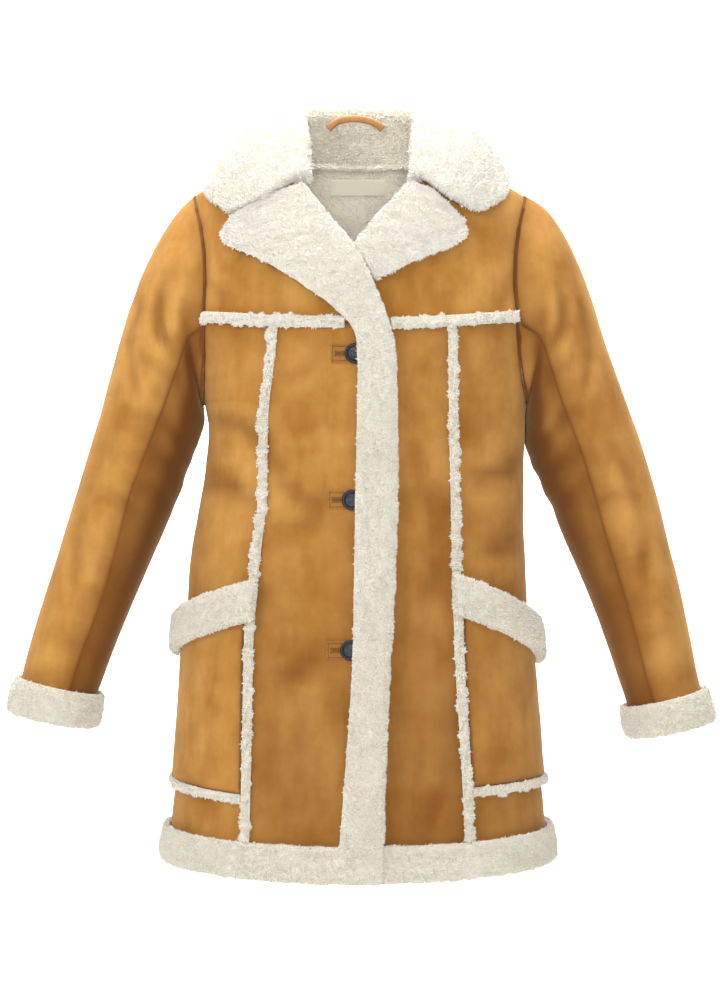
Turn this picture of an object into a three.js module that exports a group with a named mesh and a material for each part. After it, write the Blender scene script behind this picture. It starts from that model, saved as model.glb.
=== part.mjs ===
// A hip-length shearling coat, filled out as if worn, with no wearer inside it.
// Millimetres, +Z up. The coat faces -Y, and +X is the wearer's left.
// The origin is the middle of the neck at the height where the shoulders carry the coat.
import * as THREE from "three";

// Driving sizes
const wall = 6; // suede and its trimmed wool
const seamGap = 0.3;
const clearance = 0.5; // between a piece and the panel that it lies on
const armholeGap = 0.8;
const overlapLift = 7; // how far the right front stands off the left front that it covers
const sleeveWall = 5;
const sleeveSeamGap = 0.7; // at a radius of 50, where the sleeve is slimmest
const sleeveRadius = 50;
const pocketWall = 5;
const pileHeight = 11; // the long wool of the bands
const hemEdgeZ = -797;
const hemBandTopZ = -764;
const neckZ = -6; // top of the panels, where the collar starts
const roundness = 2.4; // exponent of the body's sections: 2 is an ellipse, more is squarer
const sides = { right: -1, left: 1 }; // the wearer's sides

const skin = new THREE.Color(0.66, 0.39, 0.13);
const cream = new THREE.Color(0.9, 0.87, 0.79);
const suede = new THREE.MeshStandardMaterial({ color: skin, roughness: 0.95, metalness: 0 });
const wool = new THREE.MeshStandardMaterial({ color: cream, roughness: 1, metalness: 0 });
const leather = new THREE.MeshStandardMaterial({ color: 0xb87333, roughness: 0.6, metalness: 0 });
const horn = new THREE.MeshStandardMaterial({ color: 0x20242c, roughness: 0.35, metalness: 0 });
const label = new THREE.MeshStandardMaterial({ color: 0xe6dcc4, roughness: 0.9, metalness: 0 });

const degrees = THREE.MathUtils.degToRad;
const mix = THREE.MathUtils.lerp;
const ease = THREE.MathUtils.smoothstep;

// The body's level sections, from the neck down: half width, depth to the front and to the back,
// and how far the section's middle sits to the wearer's left.
const bodyRows = [
  { z: 20, halfWidth: 66, front: 56, back: 58, shift: 0 },
  { z: -6, halfWidth: 85, front: 61, back: 63, shift: 0 },
  { z: -16, halfWidth: 112, front: 67, back: 70, shift: 0 },
  { z: -30, halfWidth: 149, front: 76, back: 80, shift: 0 },
  { z: -46, halfWidth: 186, front: 86, back: 90, shift: 0 },
  { z: -75, halfWidth: 193, front: 98, back: 101, shift: 0 },
  { z: -110, halfWidth: 195, front: 108, back: 108, shift: 0 },
  { z: -165, halfWidth: 195, front: 119, back: 113, shift: 0 },
  { z: -206, halfWidth: 194, front: 124, back: 114, shift: 1 },
  { z: -260, halfWidth: 189, front: 126, back: 113, shift: 3 },
  { z: -290, halfWidth: 183, front: 125, back: 112, shift: 6 },
  { z: -325, halfWidth: 181, front: 124, back: 111, shift: 7 },
  { z: -401, halfWidth: 186, front: 123, back: 110, shift: 2 },
  { z: -450, halfWidth: 191, front: 125, back: 113, shift: -2 },
  { z: -519, halfWidth: 195, front: 129, back: 118, shift: -3 },
  { z: -600, halfWidth: 200, front: 135, back: 124, shift: -3 },
  { z: -690, halfWidth: 207, front: 141, back: 131, shift: -2 },
  { z: -765, halfWidth: 214, front: 146, back: 137, shift: -2 },
  { z: -830, halfWidth: 218, front: 149, back: 141, shift: -2 },
];

// How far a level line, such as the hem, sinks from the sides to the middle of the front.
const dipRows = [
  { z: 20, dip: 0 },
  { z: -100, dip: 0 },
  { z: -140, dip: 5 },
  { z: -189, dip: 13 },
  { z: -260, dip: 8 },
  { z: -400, dip: 2 },
  { z: -600, dip: 4 },
  { z: -830, dip: 7 },
];

// Where each front ends, towards the middle. The right front covers the left one.
const frontEdgeRows = {
  right: [
    { z: -6, x: -80 },
    { z: -24, x: -79 },
    { z: -50, x: -70 },
    { z: -70, x: -55 },
    { z: -84, x: -44 },
    { z: -103, x: -29 },
    { z: -122, x: -14 },
    { z: -147, x: -1 },
    { z: -172, x: 10 },
    { z: -200, x: 21 },
    { z: -228, x: 29 },
    { z: -286, x: 32 },
    { z: -394, x: 32 },
    { z: -502, x: 29 },
    { z: -567, x: 25 },
    { z: -664, x: 20 },
    { z: -810, x: 16 },
  ],
  left: [
    { z: -6, x: 80 },
    { z: -24, x: 79 },
    { z: -48, x: 62 },
    { z: -65, x: 47 },
    { z: -76, x: 37 },
    { z: -89, x: 25 },
    { z: -103, x: 14 },
    { z: -117, x: 3 },
    { z: -150, x: -22 },
    { z: -195, x: -40 },
    { z: -250, x: -46 },
    { z: -810, x: -46 },
  ],
};

// The seam that runs down each front, from the yoke to the hem.
const frontSeamRows = {
  right: [
    { z: -185, x: -94 },
    { z: -205, x: -95 },
    { z: -240, x: -98 },
    { z: -300, x: -105 },
    { z: -394, x: -107 },
    { z: -450, x: -113 },
    { z: -520, x: -120 },
    { z: -664, x: -123 },
    { z: -810, x: -126 },
  ],
  left: [
    { z: -185, x: 101 },
    { z: -300, x: 102 },
    { z: -394, x: 104 },
    { z: -520, x: 107 },
    { z: -600, x: 110 },
    { z: -664, x: 114 },
    { z: -810, x: 121 },
  ],
};

// The sleeve's rings: outer and inner edge seen from the front, the ring's middle in depth, and
// half its depth. The first ring is the armhole itself.
const sleeveRows = {
  right: [
    { outX: 194, outZ: -41, inX: 183, inZ: -284, midY: 0, halfDepth: 68 },
    { outX: 212, outZ: -68, inX: 182, inZ: -291, midY: 0, halfDepth: 69 },
    { outX: 232, outZ: -99, inX: 179, inZ: -301, midY: -1, halfDepth: 70 },
    { outX: 254, outZ: -146, inX: 181, inZ: -315, midY: -2, halfDepth: 68 },
    { outX: 272, outZ: -204, inX: 188, inZ: -334, midY: -3, halfDepth: 65 },
    { outX: 291, outZ: -272, inX: 197, inZ: -364, midY: -5, halfDepth: 62 },
    { outX: 310, outZ: -342, inX: 212, inZ: -402, midY: -8, halfDepth: 59 },
    { outX: 332, outZ: -411, inX: 231, inZ: -445, midY: -12, halfDepth: 56 },
    { outX: 355, outZ: -491, inX: 262, inZ: -519, midY: -18, halfDepth: 52 },
    { outX: 373, outZ: -551, inX: 284, inZ: -574, midY: -24, halfDepth: 48 },
    { outX: 386, outZ: -604, inX: 301, inZ: -622, midY: -29, halfDepth: 46 },
    { outX: 391, outZ: -630, inX: 307, inZ: -647, midY: -32, halfDepth: 45 },
  ],
  left: [
    { outX: 198, outZ: -39, inX: 192, inZ: -284, midY: 0, halfDepth: 68 },
    { outX: 219, outZ: -67, inX: 192, inZ: -291, midY: 0, halfDepth: 69 },
    { outX: 240, outZ: -101, inX: 191, inZ: -301, midY: -1, halfDepth: 70 },
    { outX: 261, outZ: -149, inX: 190.5, inZ: -314, midY: -2, halfDepth: 68 },
    { outX: 279, outZ: -208, inX: 191.5, inZ: -336, midY: -3, halfDepth: 66 },
    { outX: 301, outZ: -270, inX: 201, inZ: -368, midY: -5, halfDepth: 63 },
    { outX: 323, outZ: -333, inX: 220, inZ: -408, midY: -8, halfDepth: 60 },
    { outX: 343, outZ: -405, inX: 238, inZ: -449, midY: -12, halfDepth: 57 },
    { outX: 361, outZ: -480, inX: 264, inZ: -511, midY: -18, halfDepth: 53 },
    { outX: 374, outZ: -543, inX: 285, inZ: -569, midY: -24, halfDepth: 49 },
    { outX: 387, outZ: -610, inX: 304, inZ: -630, midY: -29, halfDepth: 46 },
    { outX: 395, outZ: -640, inX: 312, inZ: -659, midY: -32, halfDepth: 45 },
  ],
};
// The armhole is an oval in its upper half and squarer, by its exponent, in its lower half.
const armhole = { z: -165, halfHeight: 120, halfDepth: 66, lowerExponent: 3.2 };
// The sleeve's front seam as seen from the front. The back seam mirrors it.
const sleeveSeamRows = {
  right: [
    { z: -189, x: 183 },
    { z: -251, x: 206 },
    { z: -301, x: 224 },
    { z: -401, x: 262 },
    { z: -460, x: 275 },
    { z: -530, x: 298 },
    { z: -600, x: 322 },
    { z: -640, x: 330 },
  ],
  left: [
    { z: -189, x: 192 },
    { z: -238, x: 211 },
    { z: -279, x: 224 },
    { z: -345, x: 249 },
    { z: -401, x: 266 },
    { z: -475, x: 288 },
    { z: -530, x: 304 },
    { z: -600, x: 322 },
    { z: -650, x: 336 },
  ],
};
const sleeveFacets = { upper: 12, under: 7 };
const sleeveRings = [
  0, 0.03, 0.07, 0.12, 0.19, 0.26, 0.32, 0.36, 0.395, 0.43, 0.465, 0.5, 0.535, 0.57, 0.62, 0.7, 0.78, 0.86, 0.93, 1,
];

// The sleeves' largest folds: where round the ring (in degrees from its outer edge) and along the
// arm, how far each reaches round and along, how much it slants, and its depth.
const sleeveFoldRows = {
  right: [
    { round: 152, along: 0.395, halfTurn: 48, halfLength: 0.02, slant: 0.0003, depth: 4 },
    { round: 160, along: 0.467, halfTurn: 56, halfLength: 0.021, slant: 0, depth: 4.5 },
    { round: 146, along: 0.537, halfTurn: 40, halfLength: 0.02, slant: -0.0003, depth: 3 },
    { round: 70, along: 0.24, halfTurn: 14, halfLength: 0.09, slant: 0, depth: 2.5 },
    { round: 215, along: 0.43, halfTurn: 36, halfLength: 0.022, slant: 0, depth: 3.5 },
    { round: 290, along: 0.26, halfTurn: 15, halfLength: 0.08, slant: 0, depth: 2.5 },
  ],
  left: [
    { round: 156, along: 0.397, halfTurn: 52, halfLength: 0.021, slant: 0.0003, depth: 4.5 },
    { round: 148, along: 0.463, halfTurn: 42, halfLength: 0.02, slant: 0, depth: 3.5 },
    { round: 160, along: 0.534, halfTurn: 50, halfLength: 0.021, slant: -0.0002, depth: 4 },
    { round: 64, along: 0.23, halfTurn: 15, halfLength: 0.08, slant: 0, depth: 2 },
    { round: 212, along: 0.465, halfTurn: 38, halfLength: 0.022, slant: 0, depth: 3.5 },
    { round: 296, along: 0.24, halfTurn: 14, halfLength: 0.09, slant: 0, depth: 2.5 },
  ],
};

// The body's largest folds run down the skirt: the angle in degrees from the middle of the front,
// where each starts and is deepest, how far it reaches round, and its depth.
const bodyFoldRows = [
  { angle: 15, start: -520, full: -760, halfTurn: 5, depth: 3 },
  { angle: -17, start: -560, full: -770, halfTurn: 5, depth: 2.5 },
  { angle: 128, start: -430, full: -740, halfTurn: 8, depth: 5 },
  { angle: 154, start: -500, full: -770, halfTurn: 6.5, depth: 4 },
  { angle: -163, start: -450, full: -730, halfTurn: 6.5, depth: 4 },
  { angle: -134, start: -480, full: -760, halfTurn: 8, depth: 5.5 },
  { angle: -112, start: -520, full: -770, halfTurn: 6, depth: 3 },
];

// The collar, from the middle of the back to its front end. Base and top are points, and the edge
// lies on the body at an angle from the front and a height. Reach, rise and bulge say how roundly
// the collar turns over and falls, and out how far its fall stands off towards the front.
const collarRows = [
  {
    baseX: 0, baseY: 60, baseZ: -5.2, topX: 0, topY: 66, topZ: 58,
    edgeRight: 180, edgeLeft: 180, drop: -36,
    reach: 14, rise: -6, bulge: 10, out: 0,
  },
  {
    baseX: 36, baseY: 56, baseZ: -5.2, topX: 35, topY: 61, topZ: 57,
    edgeRight: 148, edgeLeft: 149, drop: -38,
    reach: 15, rise: -5, bulge: 13, out: 0,
  },
  {
    baseX: 62, baseY: 41, baseZ: -5.2, topX: 59, topY: 42, topZ: 54,
    edgeRight: 119, edgeLeft: 121, drop: -38,
    reach: 18, rise: -3, bulge: 19, out: 0,
  },
  {
    baseX: 75, baseY: 10, baseZ: -5.2, topX: 68, topY: 10, topZ: 46,
    edgeRight: 94, edgeLeft: 95, drop: -33,
    reach: 19, rise: -3, bulge: 22, out: 0,
  },
  {
    baseX: 72, baseY: -22, baseZ: -2, topX: 67, topY: -24, topZ: 29,
    edgeRight: 73, edgeLeft: 70, drop: -38,
    reach: 18, rise: -3, bulge: 20, out: 0,
  },
  {
    baseX: 66, baseY: -54, baseZ: -21, topX: 63, topY: -62, topZ: 2,
    edgeRight: 57, edgeLeft: 52, drop: -56,
    reach: 14, rise: -3, bulge: 9, out: 3,
  },
  {
    baseX: 61, baseY: -79, baseZ: -43, topX: 62, topY: -92, topZ: -33,
    edgeRight: 43, edgeLeft: 38, drop: -75,
    reach: 10, rise: -4, bulge: -4, out: 9,
  },
];
const collarHalfThickness = 5;
const collarEdgeLift = 7;

// The lapels and the long band, from the collar down: the rolled edge and the free edge, as seen from
// the front, and how far the piece stands off the body.
const lapelRows = {
  right: [
    { edgeX: -63, edgeZ: -50, freeX: -127, freeZ: -74, lift: 2 },
    { edgeX: -57, edgeZ: -58, freeX: -143, freeZ: -85, lift: 2 },
    { edgeX: -48, edgeZ: -70, freeX: -150, freeZ: -101, lift: 2 },
    { edgeX: -37, edgeZ: -84, freeX: -144, freeZ: -114, lift: 3 },
    { edgeX: -22, edgeZ: -103, freeX: -111, freeZ: -131, lift: 6 },
    { edgeX: -7, edgeZ: -122, freeX: -76, freeZ: -153, lift: 9 },
    { edgeX: 6, edgeZ: -147, freeX: -44, freeZ: -177, lift: 9 },
    { edgeX: 17, edgeZ: -172, freeX: -21, freeZ: -195, lift: 5 },
    { edgeX: 28, edgeZ: -199, freeX: -8, freeZ: -210, lift: 2 },
    { edgeX: 35, edgeZ: -228, freeX: -3, freeZ: -232, lift: 0 },
    { edgeX: 38, edgeZ: -286, freeX: -3, freeZ: -286, lift: 0 },
    { edgeX: 38, edgeZ: -394, freeX: -5, freeZ: -394, lift: 0 },
    { edgeX: 35, edgeZ: -502, freeX: -7, freeZ: -502, lift: 0 },
    { edgeX: 31, edgeZ: -567, freeX: -8, freeZ: -567, lift: 0 },
    { edgeX: 26, edgeZ: -664, freeX: -14, freeZ: -664, lift: 0 },
    { edgeX: 23, edgeZ: -769.5, freeX: -22, freeZ: -769.5, lift: 0 },
  ],
  left: [
    { edgeX: 54, edgeZ: -47, freeX: 82, freeZ: -58, lift: 2 },
    { edgeX: 47, edgeZ: -55, freeX: 104, freeZ: -78, lift: 2 },
    { edgeX: 39, edgeZ: -65, freeX: 116, freeZ: -97, lift: 2 },
    { edgeX: 29, edgeZ: -76, freeX: 108, freeZ: -112, lift: 2 },
    { edgeX: 17, edgeZ: -89, freeX: 84, freeZ: -124, lift: 2 },
    { edgeX: 6, edgeZ: -103, freeX: 58, freeZ: -135, lift: 2 },
    { edgeX: -4.5, edgeZ: -117, freeX: 34, freeZ: -148, lift: 2 },
    { edgeX: -2.5, edgeZ: -122, freeX: 16, freeZ: -155, lift: 2 },
  ],
};

// A band's section, seen along it: share of the band's width from its rolled edge, millimetres added
// to that, and height over the panel. It wraps the panel's edge and stands clear of the panel under
// its free edge, as long wool does.
const bandProfile = [
  { share: 0, add: 1, height: -wall },
  { share: 0, add: 1, height: -1 },
  { share: 0, add: 6, height: clearance },
  { share: 1, add: -13, height: clearance },
  { share: 1, add: -12, height: 6 },
  { share: 1, add: -1, height: 6.3 },
  { share: 1, add: 0, height: 8 },
  { share: 1, add: -3, height: 10 },
  { share: 0.7, add: 0, height: pileHeight },
  { share: 0.3, add: 0, height: pileHeight + 1 },
  { share: 0, add: 2, height: pileHeight - 1 },
  { share: 0, add: -1.5, height: 6 },
  { share: 0, add: -2, height: 1 },
  { share: 0, add: -1, height: -wall + 1 },
];

const buttonRows = [
  { x: -5.5, z: -236 },
  { x: -8.5, z: -395 },
  { x: -10.3, z: -559 },
];
const button = { radius: 11.5, thickness: 3.2, rim: 1.2 };
const buttonhole = { offset: -13, width: 26, height: 20, thickness: 1.1 };

// The hanging loop: where round the collar, how far off its inside, and how high.
const loop = {
  over: 0.26,
  halfWidth: 4.2,
  halfThickness: 2,
  rows: [
    { round: 0.396, off: 9.6, z: 40 },
    { round: 0.407, off: 11.5, z: 44 },
    { round: 0.43, off: 12.6, z: 49 },
    { round: 0.482, off: 13, z: 52.5 },
    { round: 0.534, off: 12.6, z: 49 },
    { round: 0.557, off: 11.5, z: 44 },
    { round: 0.568, off: 9.6, z: 40 },
  ],
};
const neckLabel = { from: -36, to: 30, top: -13, foot: -31, thickness: 1.6 };

// A smooth curve through one column of a table, read at any value of another column.
function column(rows, key, name) {
  const sorted = [...rows].sort((a, b) => a[key] - b[key]);
  const at = sorted.map((row) => row[key]);
  const value = sorted.map((row) => row[name]);
  const last = at.length - 1;
  const slope = value.map((_, i) => {
    const before = Math.max(i - 1, 0);
    const after = Math.min(i + 1, last);
    return (value[after] - value[before]) / (at[after] - at[before]);
  });
  return (x) => {
    const inside = Math.min(Math.max(x, at[0]), at[last]);
    let i = 0;
    while (i < last - 1 && inside > at[i + 1]) i += 1;
    const span = at[i + 1] - at[i];
    const t = (inside - at[i]) / span;
    const t2 = t * t;
    const t3 = t2 * t;
    return (
      value[i] * (2 * t3 - 3 * t2 + 1) +
      slope[i] * span * (t3 - 2 * t2 + t) +
      value[i + 1] * (3 * t2 - 2 * t3) +
      slope[i + 1] * span * (t3 - t2)
    );
  };
}

const body = Object.fromEntries(
  ["halfWidth", "front", "back", "shift"].map((name) => [name, column(bodyRows, "z", name)]),
);
const frontEdge = {
  right: column(frontEdgeRows.right, "z", "x"),
  left: column(frontEdgeRows.left, "z", "x"),
};
const frontSeam = {
  right: column(frontSeamRows.right, "z", "x"),
  left: column(frontSeamRows.left, "z", "x"),
};

const dip = column(dipRows, "z", "dip");

const squared = (t) => Math.sign(t) * Math.abs(t) ** (2 / roundness);

// The height of a level line at this angle.
const sunk = (angle, level) => level - dip(level) * Math.max(Math.cos(angle), 0) ** 3;

const soft = (distance, reach) => Math.exp(-((distance / reach) ** 2));

// The difference of two directions in degrees, from -180 to 180.
const turnBetween = (a, b) => ((a - b + 900) % 360) - 180;

// How deep the body's folds are here.
function bodyFold(angle, level) {
  return bodyFoldRows.reduce((sum, fold) => {
    const away = turnBetween(THREE.MathUtils.radToDeg(angle), fold.angle);
    return sum + fold.depth * soft(away, fold.halfTurn) * ease(-level, -fold.start, -fold.full);
  }, 0);
}

// The body's outer face. The angle runs from the middle of the front towards the wearer's left.
function bodyFace(angle, level) {
  const depth = Math.cos(angle) > 0 ? body.front(level) : body.back(level);
  const across = body.halfWidth(level) * squared(Math.sin(angle));
  const towards = -depth * squared(Math.cos(angle));
  const kept = 1 - bodyFold(angle, level) / Math.hypot(across, towards);
  return new THREE.Vector3(body.shift(level) + across * kept, towards * kept, sunk(angle, level));
}

// A point that stands off a face f(u, v) along its outward normal.
function standOff(face, u, v, lift, stepU = 1e-3, stepV = 0.05) {
  const alongU = face(u + stepU, v).sub(face(u - stepU, v));
  const alongV = face(u, v + stepV).sub(face(u, v - stepV));
  const normal = alongU.cross(alongV).normalize();
  return face(u, v).addScaledVector(normal, lift);
}

const onBody = (angle, z, lift) => standOff(bodyFace, angle, z, lift);

// The angle at which a level line of the front has this x.
function frontAngle(x, level) {
  const share = (x - body.shift(level)) / body.halfWidth(level);
  const held = Math.min(Math.abs(share), 1);
  return Math.sign(share) * Math.asin(held ** (roundness / 2));
}

// The angle at which a level line crosses an edge, which gives its x at each height.
function crossing(edge, level) {
  let angle = frontAngle(edge(level), level);
  for (let i = 0; i < 5; i += 1) angle = frontAngle(edge(sunk(angle, level)), level);
  return angle;
}

// The place on the front with this x and this height.
function onFront(x, z, lift) {
  let level = z;
  for (let i = 0; i < 5; i += 1) level = z + level - sunk(frontAngle(x, level), level);
  return onBody(frontAngle(x, level), level, lift);
}

// The right front climbs over the left one near the middle.
const rightLift = (x) => overlapLift * ease(x, -100, -42);

// Half the armhole's width in depth, at a share of its half height from its middle.
function armholeReach(share) {
  const exponent = share > 0 ? 2 : armhole.lowerExponent;
  return armhole.halfDepth * Math.max(0, 1 - Math.abs(share) ** exponent) ** (1 / exponent);
}

// The body's angle at the armhole's edge at this height, on the front (-1) or the back (1).
function armholeAngle(z, towards) {
  const y = armholeReach((z - armhole.z) / armhole.halfHeight);
  const depth = towards < 0 ? body.front(z) : body.back(z);
  const fromSide = Math.asin((y / depth) ** (roundness / 2));
  return Math.PI / 2 + towards * fromSide;
}

function meshOf(name, positions, triangles, material) {
  const geometry = new THREE.BufferGeometry();
  geometry.setAttribute("position", new THREE.Float32BufferAttribute(positions.flatMap((p) => p.toArray()), 3));
  const volume = triangles.reduce((sum, [a, b, c]) => {
    return sum + positions[a].dot(new THREE.Vector3().crossVectors(positions[b], positions[c]));
  }, 0);
  const facingOut = volume > 0 ? triangles : triangles.map(([a, b, c]) => [a, c, b]);
  geometry.setIndex(facingOut.flat());
  geometry.computeVertexNormals();
  const mesh = new THREE.Mesh(geometry, material);
  mesh.name = name;
  return mesh;
}

const quad = (a, b, c, d) => [
  [a, b, c],
  [a, c, d],
];

// A wall on a face: point(u, v, lift) gives its points, from the inner lift to the outer one.
function wallMesh(name, point, across, along, inner, outer, material) {
  const positions = [];
  const layers = [outer, inner].map((lift) =>
    along.map((v) =>
      across.map((u) => {
        positions.push(point(u, v, typeof lift === "function" ? lift(u, v) : lift));
        return positions.length - 1;
      }),
    ),
  );
  const triangles = [];
  const [top, under] = layers;
  for (let j = 0; j + 1 < along.length; j += 1) {
    for (let i = 0; i + 1 < across.length; i += 1) {
      triangles.push(...quad(top[j][i], top[j][i + 1], top[j + 1][i + 1], top[j + 1][i]));
      triangles.push(...quad(under[j][i], under[j + 1][i], under[j + 1][i + 1], under[j][i + 1]));
    }
  }
  const rim = (list) => {
    for (let k = 0; k + 1 < list.length; k += 1) {
      const [a, b] = list[k];
      const [c, d] = list[k + 1];
      triangles.push(...quad(a, b, d, c));
    }
  };
  const lastRow = along.length - 1;
  const lastColumn = across.length - 1;
  rim(across.map((_, i) => [top[0][i], under[0][i]]));
  rim(across.map((_, i) => [top[lastRow][i], under[lastRow][i]]).reverse());
  rim(along.map((_, j) => [top[j][0], under[j][0]]).reverse());
  rim(along.map((_, j) => [top[j][lastColumn], under[j][lastColumn]]));
  return meshOf(name, positions, triangles, material);
}

// A band: the same closed section at each station, joined up. section[k] is {across, height}.
function bandMesh(name, point, stations, sectionAt, material, closed = false) {
  const positions = [];
  const loops = stations.map((station) =>
    sectionAt(station).map(({ across, height }) => {
      positions.push(point(station, across, height));
      return positions.length - 1;
    }),
  );
  const triangles = [];
  const spans = closed ? loops.length : loops.length - 1;
  for (let j = 0; j < spans; j += 1) {
    const here = loops[j];
    const next = loops[(j + 1) % loops.length];
    here.forEach((_, i) => {
      const k = (i + 1) % here.length;
      triangles.push(...quad(here[i], here[k], next[k], next[i]));
    });
  }
  if (!closed) {
    const flat = (station) => sectionAt(station).map((p) => new THREE.Vector2(p.across, p.height));
    const first = THREE.ShapeUtils.triangulateShape(flat(stations[0]), []);
    const final = THREE.ShapeUtils.triangulateShape(flat(stations.at(-1)), []);
    const clockwise = THREE.ShapeUtils.isClockWise(flat(stations[0]));
    const start = loops[0];
    const end = loops.at(-1);
    first.forEach(([a, b, c]) => {
      triangles.push(clockwise ? [start[a], start[b], start[c]] : [start[a], start[c], start[b]]);
    });
    final.forEach(([a, b, c]) => {
      triangles.push(clockwise ? [end[a], end[c], end[b]] : [end[a], end[b], end[c]]);
    });
  }
  return meshOf(name, positions, triangles, material);
}

// Evenly spread values, ends included.
const spread = (from, to, count) => Array.from({ length: count + 1 }, (_, i) => mix(from, to, i / count));

// Heights of the panels' grid lines, shared so that neighbours meet point to point.
const armholeFoot = armhole.z - armhole.halfHeight;
const armholeTip = armhole.z + armhole.halfHeight;
const ringHeight = (round) => armhole.z + armhole.halfHeight * Math.cos(round);
const yokeLevel = -189;
const seamRound = Math.acos((yokeLevel - armhole.z) / armhole.halfHeight);
const yokeZ = ringHeight(seamRound);
const yokeLevels = spread(seamRound, 0, sleeveFacets.upper / 2).slice(1).map(ringHeight);
const armholeLevels = spread(2 * Math.PI - seamRound, seamRound, sleeveFacets.under)
  .slice(Math.ceil(sleeveFacets.under / 2), -1)
  .map(ringHeight);
const lowerLevels = [...spread(hemEdgeZ, -335, 8), -309, armholeFoot];
const shoulderLevels = [-38, -30, -20, -12, neckZ];

const seamAngle = (z) => seamGap / body.halfWidth(z) / 2;

function sideAngle(side, z, towards) {
  const open = z > armholeFoot && z < armholeTip;
  const angle = open ? armholeAngle(z, towards) : Math.PI / 2;
  return sides[side] * (angle + towards * 2 * seamAngle(z));
}

const group = new THREE.Group();
const add = (mesh) => group.add(mesh);

// Point of a front panel: the share runs from one edge to the other.
function frontPanelPoint(side, fromAngle, toAngle) {
  return (share, z, lift) => {
    const angle = mix(fromAngle(z), toAngle(z), share);
    const raised = side === "right" ? rightLift(bodyFace(angle, z).x) : 0;
    return onBody(angle, z, lift + raised);
  };
}

function addFrontPanels(side) {
  const edge = (level) => crossing(frontEdge[side], level);
  const seam = (offset) => (level) => crossing((z) => frontSeam[side](z) + sides[side] * offset, level);
  const rim = (z) => sideAngle(side, z, -1);
  const yokeTop = [yokeZ + seamGap / 2, ...yokeLevels, ...shoulderLevels];
  const below = [...lowerLevels, ...armholeLevels, yokeZ - seamGap / 2];
  const yoke = frontPanelPoint(side, edge, rim);
  const columns = side === "right" ? { yoke: 12, centre: 10 } : { yoke: 9, centre: 8 };
  add(wallMesh(`yoke_front_${side}`, yoke, spread(0, 1, columns.yoke), yokeTop, -wall, 0, suede));
  const centre = frontPanelPoint(side, edge, seam(-seamGap / 2));
  add(wallMesh(`centre_front_${side}`, centre, spread(0, 1, columns.centre), below, -wall, 0, suede));
  const outside = frontPanelPoint(side, seam(seamGap / 2), rim);
  add(wallMesh(`side_front_${side}`, outside, spread(0, 1, 7), below, -wall, 0, suede));
}

function addBackPanel(side) {
  const levels = [...lowerLevels, ...armholeLevels, yokeZ, ...yokeLevels, ...shoulderLevels];
  const point = (share, z, lift) => {
    const middle = sides[side] * (Math.PI - seamAngle(z));
    return onBody(mix(middle, sideAngle(side, z, 1), share), z, lift);
  };
  add(wallMesh(`back_${side}`, point, spread(0, 1, 10), levels, -wall, 0, suede));
}

function sleeveReader(side) {
  const rows = sleeveRows[side].map((row, i, all) => ({ ...row, at: i / (all.length - 1) }));
  return Object.fromEntries(
    ["outX", "outZ", "inX", "inZ", "midY", "halfDepth"].map((name) => [name, column(rows, "at", name)]),
  );
}

// How deep the sleeve's folds are here.
function sleeveFold(side, round, along) {
  return sleeveFoldRows[side].reduce((sum, fold) => {
    const away = turnBetween(THREE.MathUtils.radToDeg(round), fold.round);
    const onward = along - fold.along - fold.slant * away;
    return sum + fold.depth * soft(away, fold.halfTurn) * soft(onward, fold.halfLength);
  }, 0);
}

// The sleeve's outer face: round runs from the outer edge to the front, along from 0 to 1.
function sleeveFace(side) {
  const read = sleeveReader(side);
  return (round, along) => {
    const out = new THREE.Vector3(read.outX(along), read.midY(along), read.outZ(along));
    const inside = new THREE.Vector3(read.inX(along), read.midY(along), read.inZ(along));
    const middle = out.clone().lerp(inside, 0.5);
    const ring = middle.clone().addScaledVector(out.clone().sub(middle), Math.cos(round));
    ring.y -= read.halfDepth(along) * Math.sin(round);
    ring.addScaledVector(middle.clone().sub(ring).normalize(), sleeveFold(side, round, along));
    // The first ring follows the armhole, so it leans with the body's face.
    const atArmhole = 1 - ease(along, 0, 1 / (sleeveRows[side].length - 1));
    if (atArmhole > 0) {
      const z = armhole.z + armhole.halfHeight * Math.cos(round);
      const y = Math.sign(Math.sin(round)) * armholeReach(Math.cos(round));
      const depth = y > 0 ? body.front(z) : body.back(z);
      const width = body.halfWidth(z) * (1 - Math.abs(y / depth) ** roundness) ** (1 / roundness);
      const x = width + sides[side] * body.shift(z) + armholeGap;
      ring.lerp(new THREE.Vector3(x, -y, z), atArmhole);
    }
    ring.x *= sides[side];
    return ring;
  };
}

const sleeveFaces = { right: sleeveFace("right"), left: sleeveFace("left") };

function onSleeve(side, round, along, lift) {
  const step = 0.002;
  const face = sleeveFaces[side];
  const from = Math.max(along - step, 0);
  const to = Math.min(along + step, 1);
  const alongRing = face(round + step, along).sub(face(round - step, along));
  const alongArm = face(round, to).sub(face(round, from));
  const normal = alongRing.cross(alongArm).normalize().multiplyScalar(sides[side]);
  // At the armhole the wall lies square to the body's side.
  normal.x *= ease(along, 0, 0.07);
  return face(round, along).addScaledVector(normal.normalize(), lift);
}

// The place round each ring where the seam, as seen from the front, crosses it.
function sleeveSeam(side) {
  const read = sleeveReader(side);
  const seamX = column(sleeveSeamRows[side], "z", "x");
  return (along) => {
    if (along === 0) return seamRound;
    let low = degrees(60);
    let high = degrees(150);
    for (let i = 0; i < 30; i += 1) {
      const round = (low + high) / 2;
      const share = (1 - Math.cos(round)) / 2;
      const x = mix(read.outX(along), read.inX(along), share);
      const z = mix(read.outZ(along), read.inZ(along), share);
      if (x > seamX(z)) low = round;
      else high = round;
    }
    return low;
  };
}

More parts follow.
